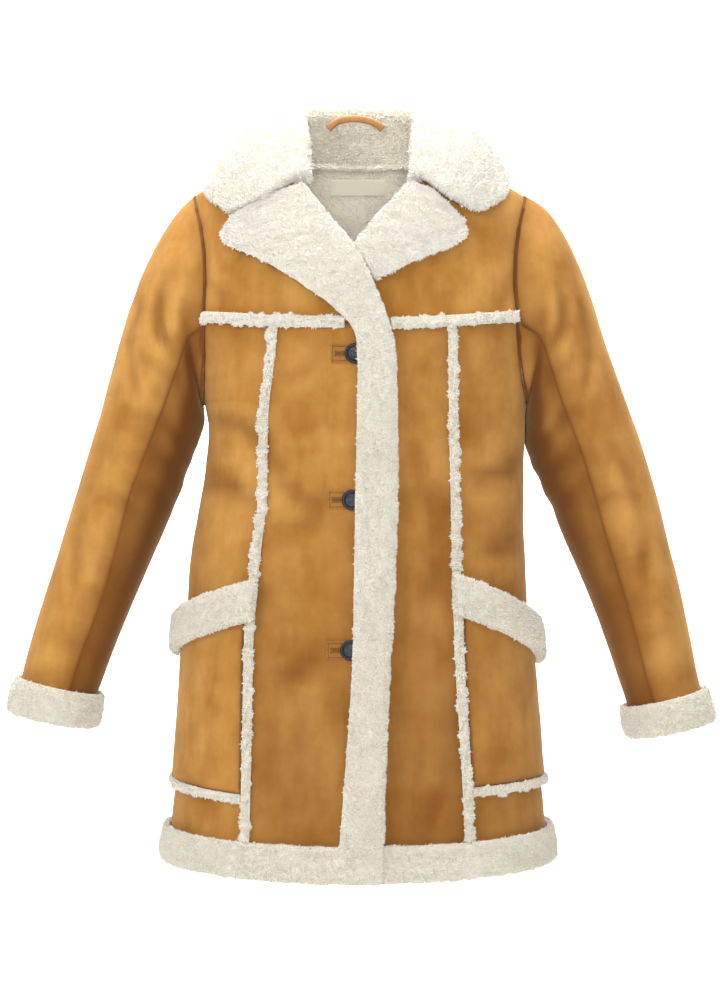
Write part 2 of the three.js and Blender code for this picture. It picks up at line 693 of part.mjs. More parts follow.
function addSleeve(side) {
  const along = sleeveRings;
  const seam = sleeveSeam(side);
  const gapAngle = sleeveSeamGap / 2 / sleeveRadius;
  const upper = (share, t, lift) => {
    const half = seam(t) - gapAngle;
    return onSleeve(side, mix(-half, half, share), t, lift);
  };
  const under = (share, t, lift) => {
    const from = seam(t) + gapAngle;
    return onSleeve(side, mix(from, 2 * Math.PI - from, share), t, lift);
  };
  add(wallMesh(`sleeve_upper_${side}`, upper, spread(0, 1, sleeveFacets.upper), along, -sleeveWall, 0, suede));
  add(wallMesh(`sleeve_under_${side}`, under, spread(0, 1, sleeveFacets.under), along, -sleeveWall, 0, suede));
}

// The turned-back cuff: a wool ring round the sleeve's end, with its thickness at the sleeve's outer
// edge and at its inner one.
const cuff = { height: 28, below: 5, outside: 9.5, inside: 11.5 };

function addCuff(side) {
  const face = sleeveFaces[side];
  const centre = (t) => {
    return face(0, t).add(face(Math.PI, t)).multiplyScalar(0.5);
  };
  const down = centre(1).sub(centre(0.94)).normalize();
  const length = centre(1).distanceTo(centre(0.94)) / 0.06;
  const point = (round, across, height) => {
    // across is the way up the sleeve from its end
    const t = 1 - Math.max(across, 0) / length;
    const place = onSleeve(side, round, t, height);
    return place.addScaledVector(down, Math.max(-across, 0));
  };
  const section = (round) => {
    const thick = mix(cuff.inside, cuff.outside, (1 + Math.cos(round)) / 2);
    return [
      { across: -1, height: -sleeveWall },
      { across: -1, height: 2 * clearance },
      { across: cuff.height - 5, height: 2 * clearance },
      { across: cuff.height, height: 0.35 * thick },
      { across: cuff.height - 2, height: 0.8 * thick },
      { across: cuff.height * 0.55, height: thick },
      { across: 3, height: thick },
      { across: -cuff.below + 1, height: 0.75 * thick },
      { across: -cuff.below, height: 0.2 * thick },
      { across: -cuff.below, height: -sleeveWall + 1 },
    ];
  };
  const rounds = spread(0, 2 * Math.PI, 24).slice(0, -1);
  add(bandMesh(`cuff_${side}`, point, rounds, section, wool, true));
}

// The collar: a stand that turns over and falls on the shoulders.
function collarFace() {
  const rows = [
    ...collarRows.slice(1).reverse().map((row) => ({ ...row, sign: sides.right })),
    ...collarRows.map((row) => ({ ...row, sign: sides.left })),
  ];
  const stations = rows.map((row) => {
    const side = row.sign === sides.right ? "edgeRight" : "edgeLeft";
    const base = new THREE.Vector3(row.sign * row.baseX, row.baseY, row.baseZ);
    const top = new THREE.Vector3(row.sign * row.topX, row.topY, row.topZ);
    const edge = onBody(row.sign * degrees(row[side]), row.drop, collarEdgeLift);
    const outward = edge.clone().sub(base).setZ(0).normalize();
    const up = new THREE.Vector3(0, 0, 1);
    const inner = base.clone().lerp(top, 0.72);
    const shoulder = top.clone().addScaledVector(outward, row.reach).addScaledVector(up, row.rise);
    const middle = shoulder.clone().lerp(edge, 0.5).addScaledVector(up, row.bulge);
    middle.y -= row.out;
    return new THREE.CatmullRomCurve3([base, inner, top, shoulder, middle, edge]);
  });
  // Reads a smooth face through the stations, at a share round the neck and a share up and over.
  return (round, over) => {
    const points = stations.map((curve) => curve.getPoint(Math.min(Math.max(over, 0), 1)));
    return new THREE.CatmullRomCurve3(points).getPoint(Math.min(Math.max(round, 0), 1));
  };
}

const collarSurface = collarFace();
const onCollar = (round, over, lift) => standOff(collarSurface, round, over, lift, 2e-3, 4e-3);

function addCollar() {
  const across = spread(0, 1, 28);
  const over = [0, 0.14, 0.27, 0.34, 0.4, 0.46, 0.53, 0.62, 0.72, 0.82, 0.92, 1];
  const half = (round, at) => collarHalfThickness * (1 + 0.3 * ease(at, 0.4, 0.7) - 0.45 * ease(at, 0.86, 1));
  add(wallMesh("collar", onCollar, across, over, (u, v) => -half(u, v), half, wool));
}

function lapelReader(side) {
  const rows = lapelRows[side].map((row, i) => ({ ...row, at: i }));
  return Object.fromEntries(
    ["edgeX", "edgeZ", "freeX", "freeZ", "lift"].map((name) => [name, column(rows, "at", name)]),
  );
}

// A lapel, which for the right front runs on as the band down its edge.
function addLapel(side, name, steps) {
  const read = lapelReader(side);
  const last = lapelRows[side].length - 1;
  const point = (station, across, height) => {
    const edge = new THREE.Vector2(read.edgeX(station), read.edgeZ(station));
    const free = new THREE.Vector2(read.freeX(station), read.freeZ(station));
    const at = edge.clone().lerp(free, across / edge.distanceTo(free));
    const raised = side === "right" ? rightLift(at.x) : 0;
    return onFront(at.x, at.y, height + raised + read.lift(station));
  };
  const section = (station) => {
    const width = Math.hypot(
      read.edgeX(station) - read.freeX(station),
      read.edgeZ(station) - read.freeZ(station),
    );
    return bandProfile.map(({ share, add: extra, height }) => ({
      across: share * width + extra,
      height,
    }));
  };
  add(bandMesh(name, point, steps.filter((s) => s <= last), section, wool));
}

// The wool round the hem, in three lengths that meet at the side seams.
function addHemBand(name, fromAngle, toAngle, steps, lifted) {
  const point = (angle, across, height) => {
    const z = hemEdgeZ + across;
    const raised = lifted ? rightLift(bodyFace(angle, z).x) : 0;
    return onBody(angle, z, height + raised);
  };
  const tall = hemBandTopZ - hemEdgeZ;
  const section = () => [
    { across: -clearance, height: -wall },
    { across: -clearance, height: 2 * clearance },
    { across: tall - 4, height: 2 * clearance },
    { across: tall, height: 4 },
    { across: tall - 1, height: 9 },
    { across: tall * 0.6, height: pileHeight },
    { across: tall * 0.15, height: pileHeight + 1 },
    { across: -4.5, height: pileHeight - 1.5 },
    { across: -6.5, height: 5 },
    { across: -6.5, height: -wall + 2 },
  ];
  add(bandMesh(name, point, spread(fromAngle, toAngle, steps), section, wool));
}

// A strip of wool that stands in a seam: a low round ridge on a path given as points with a lift.
function addStrip(name, point, stations, halfWidth, height) {
  const section = () => [
    { across: -halfWidth + 1, height: clearance },
    { across: halfWidth - 1, height: clearance },
    { across: halfWidth, height: 0.45 * height },
    { across: 0.6 * halfWidth, height: 0.9 * height },
    { across: 0, height },
    { across: -0.6 * halfWidth, height: 0.9 * height },
    { across: -halfWidth, height: 0.45 * height },
  ];
  add(bandMesh(name, point, stations, section, wool));
}

const strip = { halfWidth: 5, height: 6.5, yokeHalfWidth: 6.2 };
const yokeStripInner = { right: -17, left: 34 };
const pocketCuff = { height: 45, thickness: 12, inner: 7 };
// The height of the pocket's wool edge and of its floor, at the front seam and at the side seam.
const pocketSlope = {
  right: { atSeam: -503, atSide: -551, floorAtSeam: -719, floorAtSide: -713 },
  left: { atSeam: -496, atSide: -561, floorAtSeam: -711, floorAtSide: -712 },
};

function addStrips(side) {
  const raised = (x) => (side === "right" ? rightLift(x) : 0);
  const outer = bodyFace(armholeAngle(yokeZ, -1), yokeZ).x - 2;
  const across = (x, a, height) => onBody(frontAngle(x, yokeZ + a), yokeZ + a, height + raised(x));
  const yokeStations = spread(yokeStripInner[side], sides[side] * outer, 16);
  addStrip(`yoke_strip_${side}`, across, yokeStations, strip.yokeHalfWidth, strip.height);
  const seam = frontSeam[side];
  const down = (z, a, height) => onFront(seam(z) + a, z, height + raised(seam(z)));
  const { atSeam } = pocketSlope[side];
  const half = pocketCuff.height / 2 + 2;
  const sag = yokeZ - sunk(frontAngle(seam(yokeZ), yokeZ), yokeZ);
  const hemSag = hemBandTopZ - sunk(frontAngle(seam(hemBandTopZ), hemBandTopZ), hemBandTopZ);
  const upper = spread(yokeZ - sag - strip.yokeHalfWidth - 1, atSeam + half - 3, 12);
  const lower = spread(atSeam - half - 3, hemBandTopZ - hemSag + 1, 12);
  addStrip(`seam_strip_upper_${side}`, down, upper, strip.halfWidth, strip.height);
  addStrip(`seam_strip_lower_${side}`, down, lower, strip.halfWidth, strip.height);
}

function addPocket(side) {
  const inset = sides[side] * (strip.halfWidth + 1);
  const inner = (level) => crossing((z) => frontSeam[side](z) + inset, level);
  const outer = (z) => sides[side] * (Math.PI / 2 - 2 * seamAngle(z));
  const { atSeam, atSide, floorAtSeam, floorAtSide } = pocketSlope[side];
  const floorLevel = (share) => mix(floorAtSeam, floorAtSide, share);
  const mouth = (share) => mix(atSeam, atSide, share) + pocketCuff.height / 2 - 3;
  const point = (share, up, lift) => {
    const z = mix(floorLevel(share) + strip.halfWidth + 1, mouth(share), up);
    return onBody(mix(inner(z), outer(z), share), z, lift);
  };
  const shares = spread(0, 1, 7);
  add(wallMesh(`pocket_${side}`, point, shares, spread(0, 1, 7), clearance, clearance + pocketWall, suede));
  const base = pocketWall + 2 * clearance;
  const cuffPoint = (share, across, height) => {
    const z = mix(atSeam, atSide, share) + across;
    const from = crossing((height) => frontSeam[side](height) - sides[side] * pocketCuff.inner, z);
    return onBody(mix(from, outer(z), share), z, height);
  };
  const half = pocketCuff.height / 2;
  const top = base + pocketCuff.thickness;
  const section = () => [
    { across: -half + 2, height: base },
    { across: half - 2, height: base },
    { across: half, height: mix(base, top, 0.4) },
    { across: half - 3, height: mix(base, top, 0.85) },
    { across: half * 0.4, height: top },
    { across: -half * 0.4, height: top },
    { across: -half + 3, height: mix(base, top, 0.85) },
    { across: -half, height: mix(base, top, 0.4) },
  ];
  add(bandMesh(`pocket_cuff_${side}`, cuffPoint, spread(0, 1, 12), section, wool));
  const floor = (share, across, height) => {
    const z = floorLevel(share) + across;
    return onBody(mix(inner(z), outer(z), share), z, height);
  };
  addStrip(`pocket_strip_${side}`, floor, spread(0, 1, 10), strip.halfWidth, strip.height);
}

// A turned button with a raised rim.
function addButton({ x, z }, index) {
  const { radius, thickness, rim } = button;
  const lift = rightLift(x) + buttonhole.thickness + 2 * clearance;
  const profile = [
    new THREE.Vector2(0, 0),
    new THREE.Vector2(radius - 1, 0),
    new THREE.Vector2(radius, 1),
    new THREE.Vector2(radius, thickness - 0.6),
    new THREE.Vector2(radius - 0.6, thickness),
    new THREE.Vector2(radius - 2.2, thickness),
    new THREE.Vector2(radius - 3.4, thickness - rim),
    new THREE.Vector2(0, thickness - rim),
  ];
  const geometry = new THREE.LatheGeometry(profile, 20);
  const mesh = new THREE.Mesh(geometry, horn);
  mesh.name = `button_${index + 1}`;
  const place = onFront(x, z, lift);
  const facing = onFront(x, z, lift + 1).sub(place);
  mesh.quaternion.setFromUnitVectors(new THREE.Vector3(0, 1, 0), facing.normalize());
  mesh.position.copy(place);
  add(mesh);
}

// The bound buttonhole: a small patch with two lips round its slit.
function addButtonhole({ x, z }, index) {
  const { offset, width, height, thickness } = buttonhole;
  const middle = x + offset;
  const point = (u, v, lift) => onFront(middle + u, z + v, lift + rightLift(middle + u));
  const across = spread(-width / 2, width / 2, 3);
  const along = [-0.5, -0.12, -0.04, 0.04, 0.12, 0.5].map((share) => share * height);
  const top = (u, v) => clearance + thickness * (Math.abs(v) < 0.06 * height ? 0.35 : 1);
  add(wallMesh(`buttonhole_${index + 1}`, point, across, along, clearance, top, suede));
}

// The hanging loop: a flat leather strap, sewn to the inside of the collar's stand.
function addLoop() {
  const { rows, over } = loop;
  const points = rows.map(({ round, off, z }) => onCollar(round, over, off).setZ(z));
  const path = new THREE.CatmullRomCurve3(points);
  const shape = new THREE.Shape();
  shape.absellipse(0, 0, loop.halfThickness, loop.halfWidth, 0, 2 * Math.PI);
  const geometry = new THREE.ExtrudeGeometry(shape, { steps: 18, curveSegments: 4, extrudePath: path });
  const mesh = new THREE.Mesh(geometry, leather);
  mesh.name = "hanger_loop";
  add(mesh);
}

// The bare label inside the neck, on the wool of the back under the collar.
function addLabel() {
  const { from, to, top, foot, thickness } = neckLabel;
  const point = (x, z, lift) => onBody(Math.PI - frontAngle(x, z), z, lift);
  const near = -wall - clearance;
  add(wallMesh("neck_label", point, spread(from, to, 8), spread(foot, top, 3), near - thickness, near, label));
}

for (const side of ["right", "left"]) {
  addFrontPanels(side);
  addBackPanel(side);
  addSleeve(side);
  addCuff(side);
  addStrips(side);
  addPocket(side);
}
addCollar();
addLapel("right", "lapel_and_band_right", [...spread(0, 9, 18), ...spread(9.5, 15, 15)]);
addLapel("left", "lapel_left", spread(0, 7, 14));
const sideSeam = Math.PI / 2 - 0.002;
const middleRight = frontAngle(22.6, hemEdgeZ);
const middleLeft = frontAngle(23.4, hemEdgeZ);
addHemBand("hem_band_front_right", -sideSeam, middleRight, 18, true);
addHemBand("hem_band_front_left", middleLeft, sideSeam, 13, false);
addHemBand("hem_band_back", Math.PI / 2 + 0.002, (3 * Math.PI) / 2 - 0.002, 24, false);
buttonRows.forEach(addButton);
buttonRows.forEach(addButtonhole);
addLoop();
addLabel();

export default group;
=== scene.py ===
import math
from collections import deque

import bmesh
import bpy
import numpy as np
from mathutils import Matrix, Vector, noise
from mathutils.bvhtree import BVHTree
from mathutils.kdtree import KDTree


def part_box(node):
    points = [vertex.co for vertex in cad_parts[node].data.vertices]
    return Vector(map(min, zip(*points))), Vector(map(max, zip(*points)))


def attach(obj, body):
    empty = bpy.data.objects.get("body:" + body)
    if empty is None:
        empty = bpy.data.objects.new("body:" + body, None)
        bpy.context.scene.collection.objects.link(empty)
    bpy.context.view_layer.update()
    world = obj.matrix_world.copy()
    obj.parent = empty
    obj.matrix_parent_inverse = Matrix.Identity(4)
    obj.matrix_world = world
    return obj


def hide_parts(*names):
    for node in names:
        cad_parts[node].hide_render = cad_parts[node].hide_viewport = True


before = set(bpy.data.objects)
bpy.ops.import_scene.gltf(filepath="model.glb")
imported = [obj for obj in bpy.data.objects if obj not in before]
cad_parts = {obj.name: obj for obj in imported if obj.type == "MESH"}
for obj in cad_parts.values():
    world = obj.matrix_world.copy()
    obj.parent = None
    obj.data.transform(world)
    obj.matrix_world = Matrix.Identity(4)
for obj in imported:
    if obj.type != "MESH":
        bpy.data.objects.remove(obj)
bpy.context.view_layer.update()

# Shearling coat, filled out as worn. Metres, +Z up, the coat faces -Y, +X is the wearer's left.
mm = 0.001
print("frame loaded:", len(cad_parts), "solids")


class Flow:
    # A node's output, so that shader maths reads as plain expressions.

    def __init__(self, tree, socket):
        self.tree = tree
        self.socket = socket

    def node(self, kind, settings=None, out=0, **values):
        made = self.tree.nodes.new(kind)
        for name, value in (settings or {}).items():
            setattr(made, name, value)
        for name, value in values.items():
            key = int(name[1:]) if name[0] == "i" and name[1:].isdigit() else name.replace("_", " ")
            socket = made.inputs[key]
            if isinstance(value, Flow):
                self.tree.links.new(value.socket, socket)
            elif socket.type == "RGBA" and len(value) == 3:
                socket.default_value = (*value, 1)
            else:
                socket.default_value = value
        return Flow(self.tree, made.outputs[out])

    def maths(self, operation, other):
        return self.node("ShaderNodeMath", {"operation": operation}, i0=self, i1=other)

    def __add__(self, other):
        return self.maths("ADD", other)

    def __radd__(self, other):
        return self.maths("ADD", other)

    def __rsub__(self, other):
        return (self * -1.0) + other

    def __mul__(self, other):
        return self.maths("MULTIPLY", other)

    def __pow__(self, other):
        return self.maths("POWER", other)

    def clamped(self):
        return self.node("ShaderNodeClamp", i0=self)

    def span(self, low, high):
        return self.node("ShaderNodeMapRange", i0=self, i1=low, i2=high, i3=0.0, i4=1.0)

    def paint(self, first, second):
        # The first colour where this is 0, the second where it is 1.
        return self.node("ShaderNodeMix", {"data_type": "RGBA"}, out=2, i0=self, i6=first, i7=second)


def newFinish(name, sheen=0.0, sheenTint=(1, 1, 1), sheenRoughness=0.5, specular=0.3):
    finish = bpy.data.materials.new(name)
    finish.use_nodes = True
    tree = finish.node_tree
    tree.nodes.clear()
    output = tree.nodes.new("ShaderNodeOutputMaterial")
    shader = tree.nodes.new("ShaderNodeBsdfPrincipled")
    shader.inputs["Sheen Weight"].default_value = sheen
    shader.inputs["Sheen Tint"].default_value = (*sheenTint, 1)
    shader.inputs["Sheen Roughness"].default_value = sheenRoughness
    shader.inputs["Specular IOR Level"].default_value = specular
    tree.links.new(shader.outputs[0], output.inputs[0])
    place = Flow(tree, tree.nodes.new("ShaderNodeTexCoord").outputs["Object"])
    return finish, shader, place


def plug(shader, name, value):
    if isinstance(value, Flow):
        value.tree.links.new(value.socket, shader.inputs[name])
    else:
        shader.inputs[name].default_value = value


def grain(place, scale, detail=3.0, roughness=0.55, stretch=None):
    where = place
    if stretch:
        where = place.node("ShaderNodeMapping", Vector=place, Scale=stretch)
    return place.node("ShaderNodeTexNoise", Vector=where, Scale=scale, Detail=detail, Roughness=roughness)


def bumped(place, height, strength, distance):
    return place.node("ShaderNodeBump", Strength=strength, Distance=distance, Height=height)


def marked(place, name):
    # The value that the mesh holds under this name.
    return place.node("ShaderNodeAttribute", {"attribute_name": name}, out="Fac")


suedeLook = {
    "tan": (0.29, 0.115, 0.018), "pale": (0.51, 0.265, 0.070), "dark": (0.105, 0.032, 0.006),
    "mottle": 13.0, "stroke": 24.0, "nap": 900.0,  # the larger, the finer
}


def makeSuede():
    finish, shader, place = newFinish("tanSuede", 0.3, (1.0, 0.66, 0.32), 0.5, 0.1)
    look = suedeLook
    mottle = grain(place, look["mottle"], 4.0, 0.62).span(0.38, 0.64)
    stroke = grain(place, look["stroke"], 3.0, 0.62, (1.0, 1.0, 0.25)).span(0.36, 0.66)
    nap = grain(place, look["nap"], 2.0, 0.6)
    seam = marked(place, "seam")
    # The suede's own mottled tone, with a painted highlight on the ridges
    tone = (mottle * 0.5 + stroke * 0.4 + marked(place, "ridge") * 0.35).clamped()
    # Darker along the seams, a dark line with painted shade in its groove, and painted shadow beside the
    # wool
    rim = (seam * (0.12 + stroke * 0.3) + (seam ** 8.0) * 0.6).clamped()
    # Painted shade in the creases, with the darker tone and painted shade that each panel holds
    light = (1.0 - rim) * (1.0 - marked(place, "crease") * 0.5) * (1.0 - marked(place, "worn"))
    light = light * (1.0 - (1.0 - nap.span(0.3, 0.5)) * 0.1)
    shade = (1.0 - light).clamped()
    plug(shader, "Base Color", shade.paint(tone.paint(look["tan"], look["pale"]), look["dark"]))
    plug(shader, "Roughness", 0.93)
    relief = nap * 0.6 + stroke * 0.9 + mottle * 1.6
    plug(shader, "Normal", bumped(place, relief, 0.4, 0.0007))
    return finish


# Tips and roots of the locks: at the hem and the cuffs, towards the collar, inside the neck and in
# the lining. The roots are darker as painted shade deep in the pile. The tips change between two
# heights, in metres, set for the light that falls on the collar, and inside the neck and in the lining
# the wool is lighter and warmer where it lies in shade: both painted light.
woolLook = {
    "tip": (0.76, 0.735, 0.665), "root": (0.55, 0.50, 0.40), "paleTip": (0.705, 0.684, 0.645),
    "neckTip": (0.70, 0.665, 0.575), "liningTip": (0.98, 0.925, 0.80), "liningRoot": (0.88, 0.82, 0.69),
    "curl": 210.0, "patch": 26.0, "paleFrom": -0.32, "paleTo": -0.12,
}


def makeWool():
    # Wool whose colour changes towards the collar, as in the photograph: painted light, set for how the
    # light falls there, with painted shade at the roots and painted light inside the neck.
    finish, shader, place = newFinish("creamWool", 0.4, (1.0, 0.97, 0.9), 0.6, 0.06)
    look = woolLook
    level = place.node("ShaderNodeSeparateXYZ", i0=place, out="Z")
    # Painted light: the tip colour changes with height, set for the light on the collar
    height = level.span(look["paleFrom"], look["paleTo"])
    tip = height.paint(look["tip"], look["paleTip"])
    root = (height * 0.5).paint(look["root"], look["tip"])
    # Painted light: inside the neck and in the lining the wool is lighter and warmer where it lies in shade
    inside = place.node("ShaderNodeSeparateXYZ", i0=place, out="Y").span(0.0, 0.03) * height
    below = level.span(0.0, -0.02)
    tip = inside.paint(tip, below.paint(look["neckTip"], look["liningTip"]))
    root = inside.paint(root, below.paint(look["root"], look["liningRoot"]))
    clump = grain(place, look["curl"], 2.0, 0.6).span(0.3, 0.7)
    patch = grain(place, look["patch"], 2.0).span(0.35, 0.7)
    # Painted shade at the roots of the locks, under their own tone that changes at random
    lit = (marked(place, "reach") * 0.7 + clump * 0.25 + patch * 0.2).clamped()
    plug(shader, "Base Color", lit.paint(root, tip))
    plug(shader, "Roughness", 0.95)
    plug(shader, "Normal", bumped(place, clump, 0.5, 0.0010))
    return finish


leatherLook = {"dark": (0.30, 0.125, 0.028), "pale": (0.41, 0.195, 0.05), "pores": 950.0}


def makeLeather():
    finish, shader, place = newFinish("tanLeather", 0.05, (1, 0.8, 0.6), 0.5, 0.45)
    pores = place.node("ShaderNodeTexVoronoi", {"feature": "F1"}, Vector=place, Scale=leatherLook["pores"])
    tone = grain(place, 60.0, 3.0).span(0.3, 0.7)
    plug(shader, "Base Color", tone.paint(leatherLook["dark"], leatherLook["pale"]))
    plug(shader, "Roughness", tone * 0.15 + 0.42)
    plug(shader, "Normal", bumped(place, pores, 0.25, 0.0003))
    return finish


hornLook = {"dark": (0.003, 0.004, 0.008), "pale": (0.012, 0.016, 0.026), "swirl": 120.0}


def makeHorn():
    finish, shader, place = newFinish("darkHorn", 0.0, specular=0.3)
    swirl = grain(place, hornLook["swirl"], 3.0, 0.6, (1.0, 1.0, 0.3)).span(0.35, 0.7)
    plug(shader, "Base Color", swirl.paint(hornLook["dark"], hornLook["pale"]))
    plug(shader, "Roughness", swirl * 0.12 + 0.38)
    plug(shader, "Normal", bumped(place, swirl, 0.08, 0.0003))
    return finish


threadLook = {
    "darkThread": {"dark": (0.03, 0.03, 0.04), "pale": (0.09, 0.09, 0.11)},
    "brownThread": {"dark": (0.035, 0.012, 0.005), "pale": (0.10, 0.035, 0.012)},
}


def makeThread(name):
    finish, shader, place = newFinish(name, 0.2, specular=0.25)
    look = threadLook[name]
    twist = grain(place, 1600.0, 1.0)
    plug(shader, "Base Color", twist.span(0.3, 0.7).paint(look["dark"], look["pale"]))
    plug(shader, "Roughness", 0.7)
    plug(shader, "Normal", bumped(place, twist, 0.4, 0.0002))
    return finish


clothLook = {"dark": (0.94, 0.85, 0.68), "pale": (0.98, 0.94, 0.83), "threads": 330.0}


def makeCloth():
    finish, shader, place = newFinish("creamCloth", 0.2, specular=0.2)

    def threads(direction):
        sizes = {"Scale": clothLook["threads"], "Distortion": 0.4}
        return place.node("ShaderNodeTexWave", {"bands_direction": direction}, Vector=place, **sizes)

    weave = threads("X") * threads("Z")
    plug(shader, "Base Color", weave.paint(clothLook["dark"], clothLook["pale"]))
    plug(shader, "Roughness", 0.85)
    plug(shader, "Normal", bumped(place, weave, 0.4, 0.0003))
    return finish


def makePaper():
    finish, shader, place = newFinish("paleSweep")
    tone = grain(place, 1.5, 1.0).span(0.2, 0.8)
    plug(shader, "Base Color", tone.paint((0.86, 0.86, 0.86), (0.88, 0.88, 0.88)))
    plug(shader, "Roughness", 0.9)
    return finish


finishes = {
    "suede": makeSuede(),
    "wool": makeWool(),
    "leather": makeLeather(),
    "horn": makeHorn(),
    "darkThread": makeThread("darkThread"),
    "brownThread": makeThread("brownThread"),
    "cloth": makeCloth(),
}
print("finishes made:", len(finishes))


# Meshes taken from the solids

def sharp(edge, degrees):
    return len(edge.link_faces) != 2 or edge.calc_face_angle(0) > math.radians(degrees)


def skew(edge):
    # How far the two triangles at an edge are, together, from a rectangle.
    ends = set(edge.verts)
    first, second = (next(v for v in face.verts if v not in ends) for face in edge.link_faces)
    a, b = edge.verts
    corners = [first.co, a.co, second.co, b.co]
    total = 0.0
    for i, corner in enumerate(corners):
        back, ahead = corners[i - 1] - corner, corners[(i + 1) % 4] - corner
        total += abs(back.normalized().dot(ahead.normalized()))
    return total


def freeRoute(start, mate, near):
    # A chain of triangles from a single one to another, along which the pairs can swap.
    before, queue = {start: None}, deque([start])
    while queue:
        here = queue.popleft()
        for there in near[here]:
            if there in before or there is start:
                continue
            before[there] = here
            if there not in mate:
                chain = [there]
                while before[chain[-1]] is not None:
                    chain.append(before[chain[-1]])
                return chain
            partner = mate[there]
            if partner not in before:
                before[partner] = there
                queue.append(partner)
    return None


def squared(bm):
    # Joins the triangles into the four-sided faces of the grid that they came from.
    near = {face: [] for face in bm.faces}
    joints = [e for e in bm.edges if not sharp(e, 50)]
    for edge in joints:
        first, second = edge.link_faces
        near[first].append(second)
        near[second].append(first)
    mate = {}
    for edge in sorted(joints, key=skew):
        first, second = edge.link_faces
        if first not in mate and second not in mate:
            mate[first], mate[second] = second, first
    for face in bm.faces:
        chain = None if face in mate else freeRoute(face, mate, near)
        if chain:
            for first, second in zip(chain[::2], chain[1::2]):
                mate[first], mate[second] = second, first
    inner = [e for e in joints if mate.get(e.link_faces[0]) is e.link_faces[1]]
    bmesh.ops.dissolve_edges(bm, edges=inner, use_verts=False)


def merged(node):
    # The solid's mesh with its vertices joined and its triangles paired.
    bm = bmesh.new()
    bm.from_mesh(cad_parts[node].data)
    bmesh.ops.remove_doubles(bm, verts=bm.verts, dist=0.02 * mm)
    bm.normal_update()
    squared(bm)
    bm.normal_update()
    return bm


def regions(bm, degrees=50):
    # Sets of faces that no sharp edge divides, the largest first.
    found, left = [], set(bm.faces)
    while left:
        start = left.pop()
        region, queue = {start}, deque([start])
        while queue:
            for edge in queue.popleft().edges:
                if sharp(edge, degrees):
                    continue
                for face in edge.link_faces:
                    if face in left:
                        left.remove(face)
                        region.add(face)
                        queue.append(face)
        found.append(region)
    return sorted(found, key=lambda r: -sum(f.calc_area() for f in r))


def facing(region, line):
    # Above 0 where the faces look away from the line.
    start, end = line
    along = (end - start).normalized()
    total = 0.0
    for face in region:
        centre = face.calc_center_median()
        away = centre - start
        away -= along * away.dot(along)
        total += face.normal.dot(away.normalized()) * face.calc_area()
    return total


def onlyFaces(bm, keep):
    part = bm.copy()
    part.faces.ensure_lookup_table()
    wanted = {f.index for f in keep}
    bmesh.ops.delete(part, geom=[f for f in part.faces if f.index not in wanted], context="FACES")
    return part


def newPiece(name, bm, finish):
    mesh = bpy.data.meshes.new(name)
    bm.to_mesh(mesh)
    bm.free()
    piece = bpy.data.objects.new(name, mesh)
    bpy.context.scene.collection.objects.link(piece)
    mesh.materials.append(finish)
    return piece


def shadeSmooth(piece):
    for face in piece.data.polygons:
        face.use_smooth = True


def bake(piece):
    # Turns the piece with its modifiers into a plain mesh.
    bpy.context.view_layer.update()
    graph = bpy.context.evaluated_depsgraph_get()
    mesh = bpy.data.meshes.new_from_object(piece.evaluated_get(graph))
    piece.modifiers.clear()
    old = piece.data
    piece.data = mesh
    bpy.data.meshes.remove(old)
    mesh.name = piece.name


def smoothed(piece, levels):
    # Subdivides the piece so that its smooth face still passes through the points it had.
    mesh = piece.data
    aim = coordinates(mesh).astype(float)
    held = aim.copy()
    curve = piece.modifiers.new("curve", "SUBSURF")
    curve.levels = curve.render_levels = levels
    curve.boundary_smooth = "PRESERVE_CORNERS"
    for _ in range(3):
        bpy.context.view_layer.update()
        graph = bpy.context.evaluated_depsgraph_get()
        reached = coordinates(piece.evaluated_get(graph).data)[: len(aim)]
        held += (aim - reached) * 0.8
        held = aim + np.clip(held - aim, -3 * mm, 3 * mm)
        mesh.vertices.foreach_set("co", held.astype(np.float32).ravel())
        mesh.update()
        mesh.update_tag()
    bake(piece)
    shadeSmooth(piece)


def coordinates(mesh):
    values = np.empty(len(mesh.vertices) * 3, np.float32)
    mesh.vertices.foreach_get("co", values)
    return values.reshape(-1, 3)


def normals(mesh):
    values = np.empty(len(mesh.vertices) * 3, np.float32)
    mesh.vertex_normals.foreach_get("vector", values)
    return values.reshape(-1, 3)


def store(mesh, name, values):
    # Keeps a value at each point, which the materials and the pile read.
    layer = mesh.attributes.get(name) or mesh.attributes.new(name, "FLOAT", "POINT")
    layer.data.foreach_set("value", np.asarray(values, np.float32))


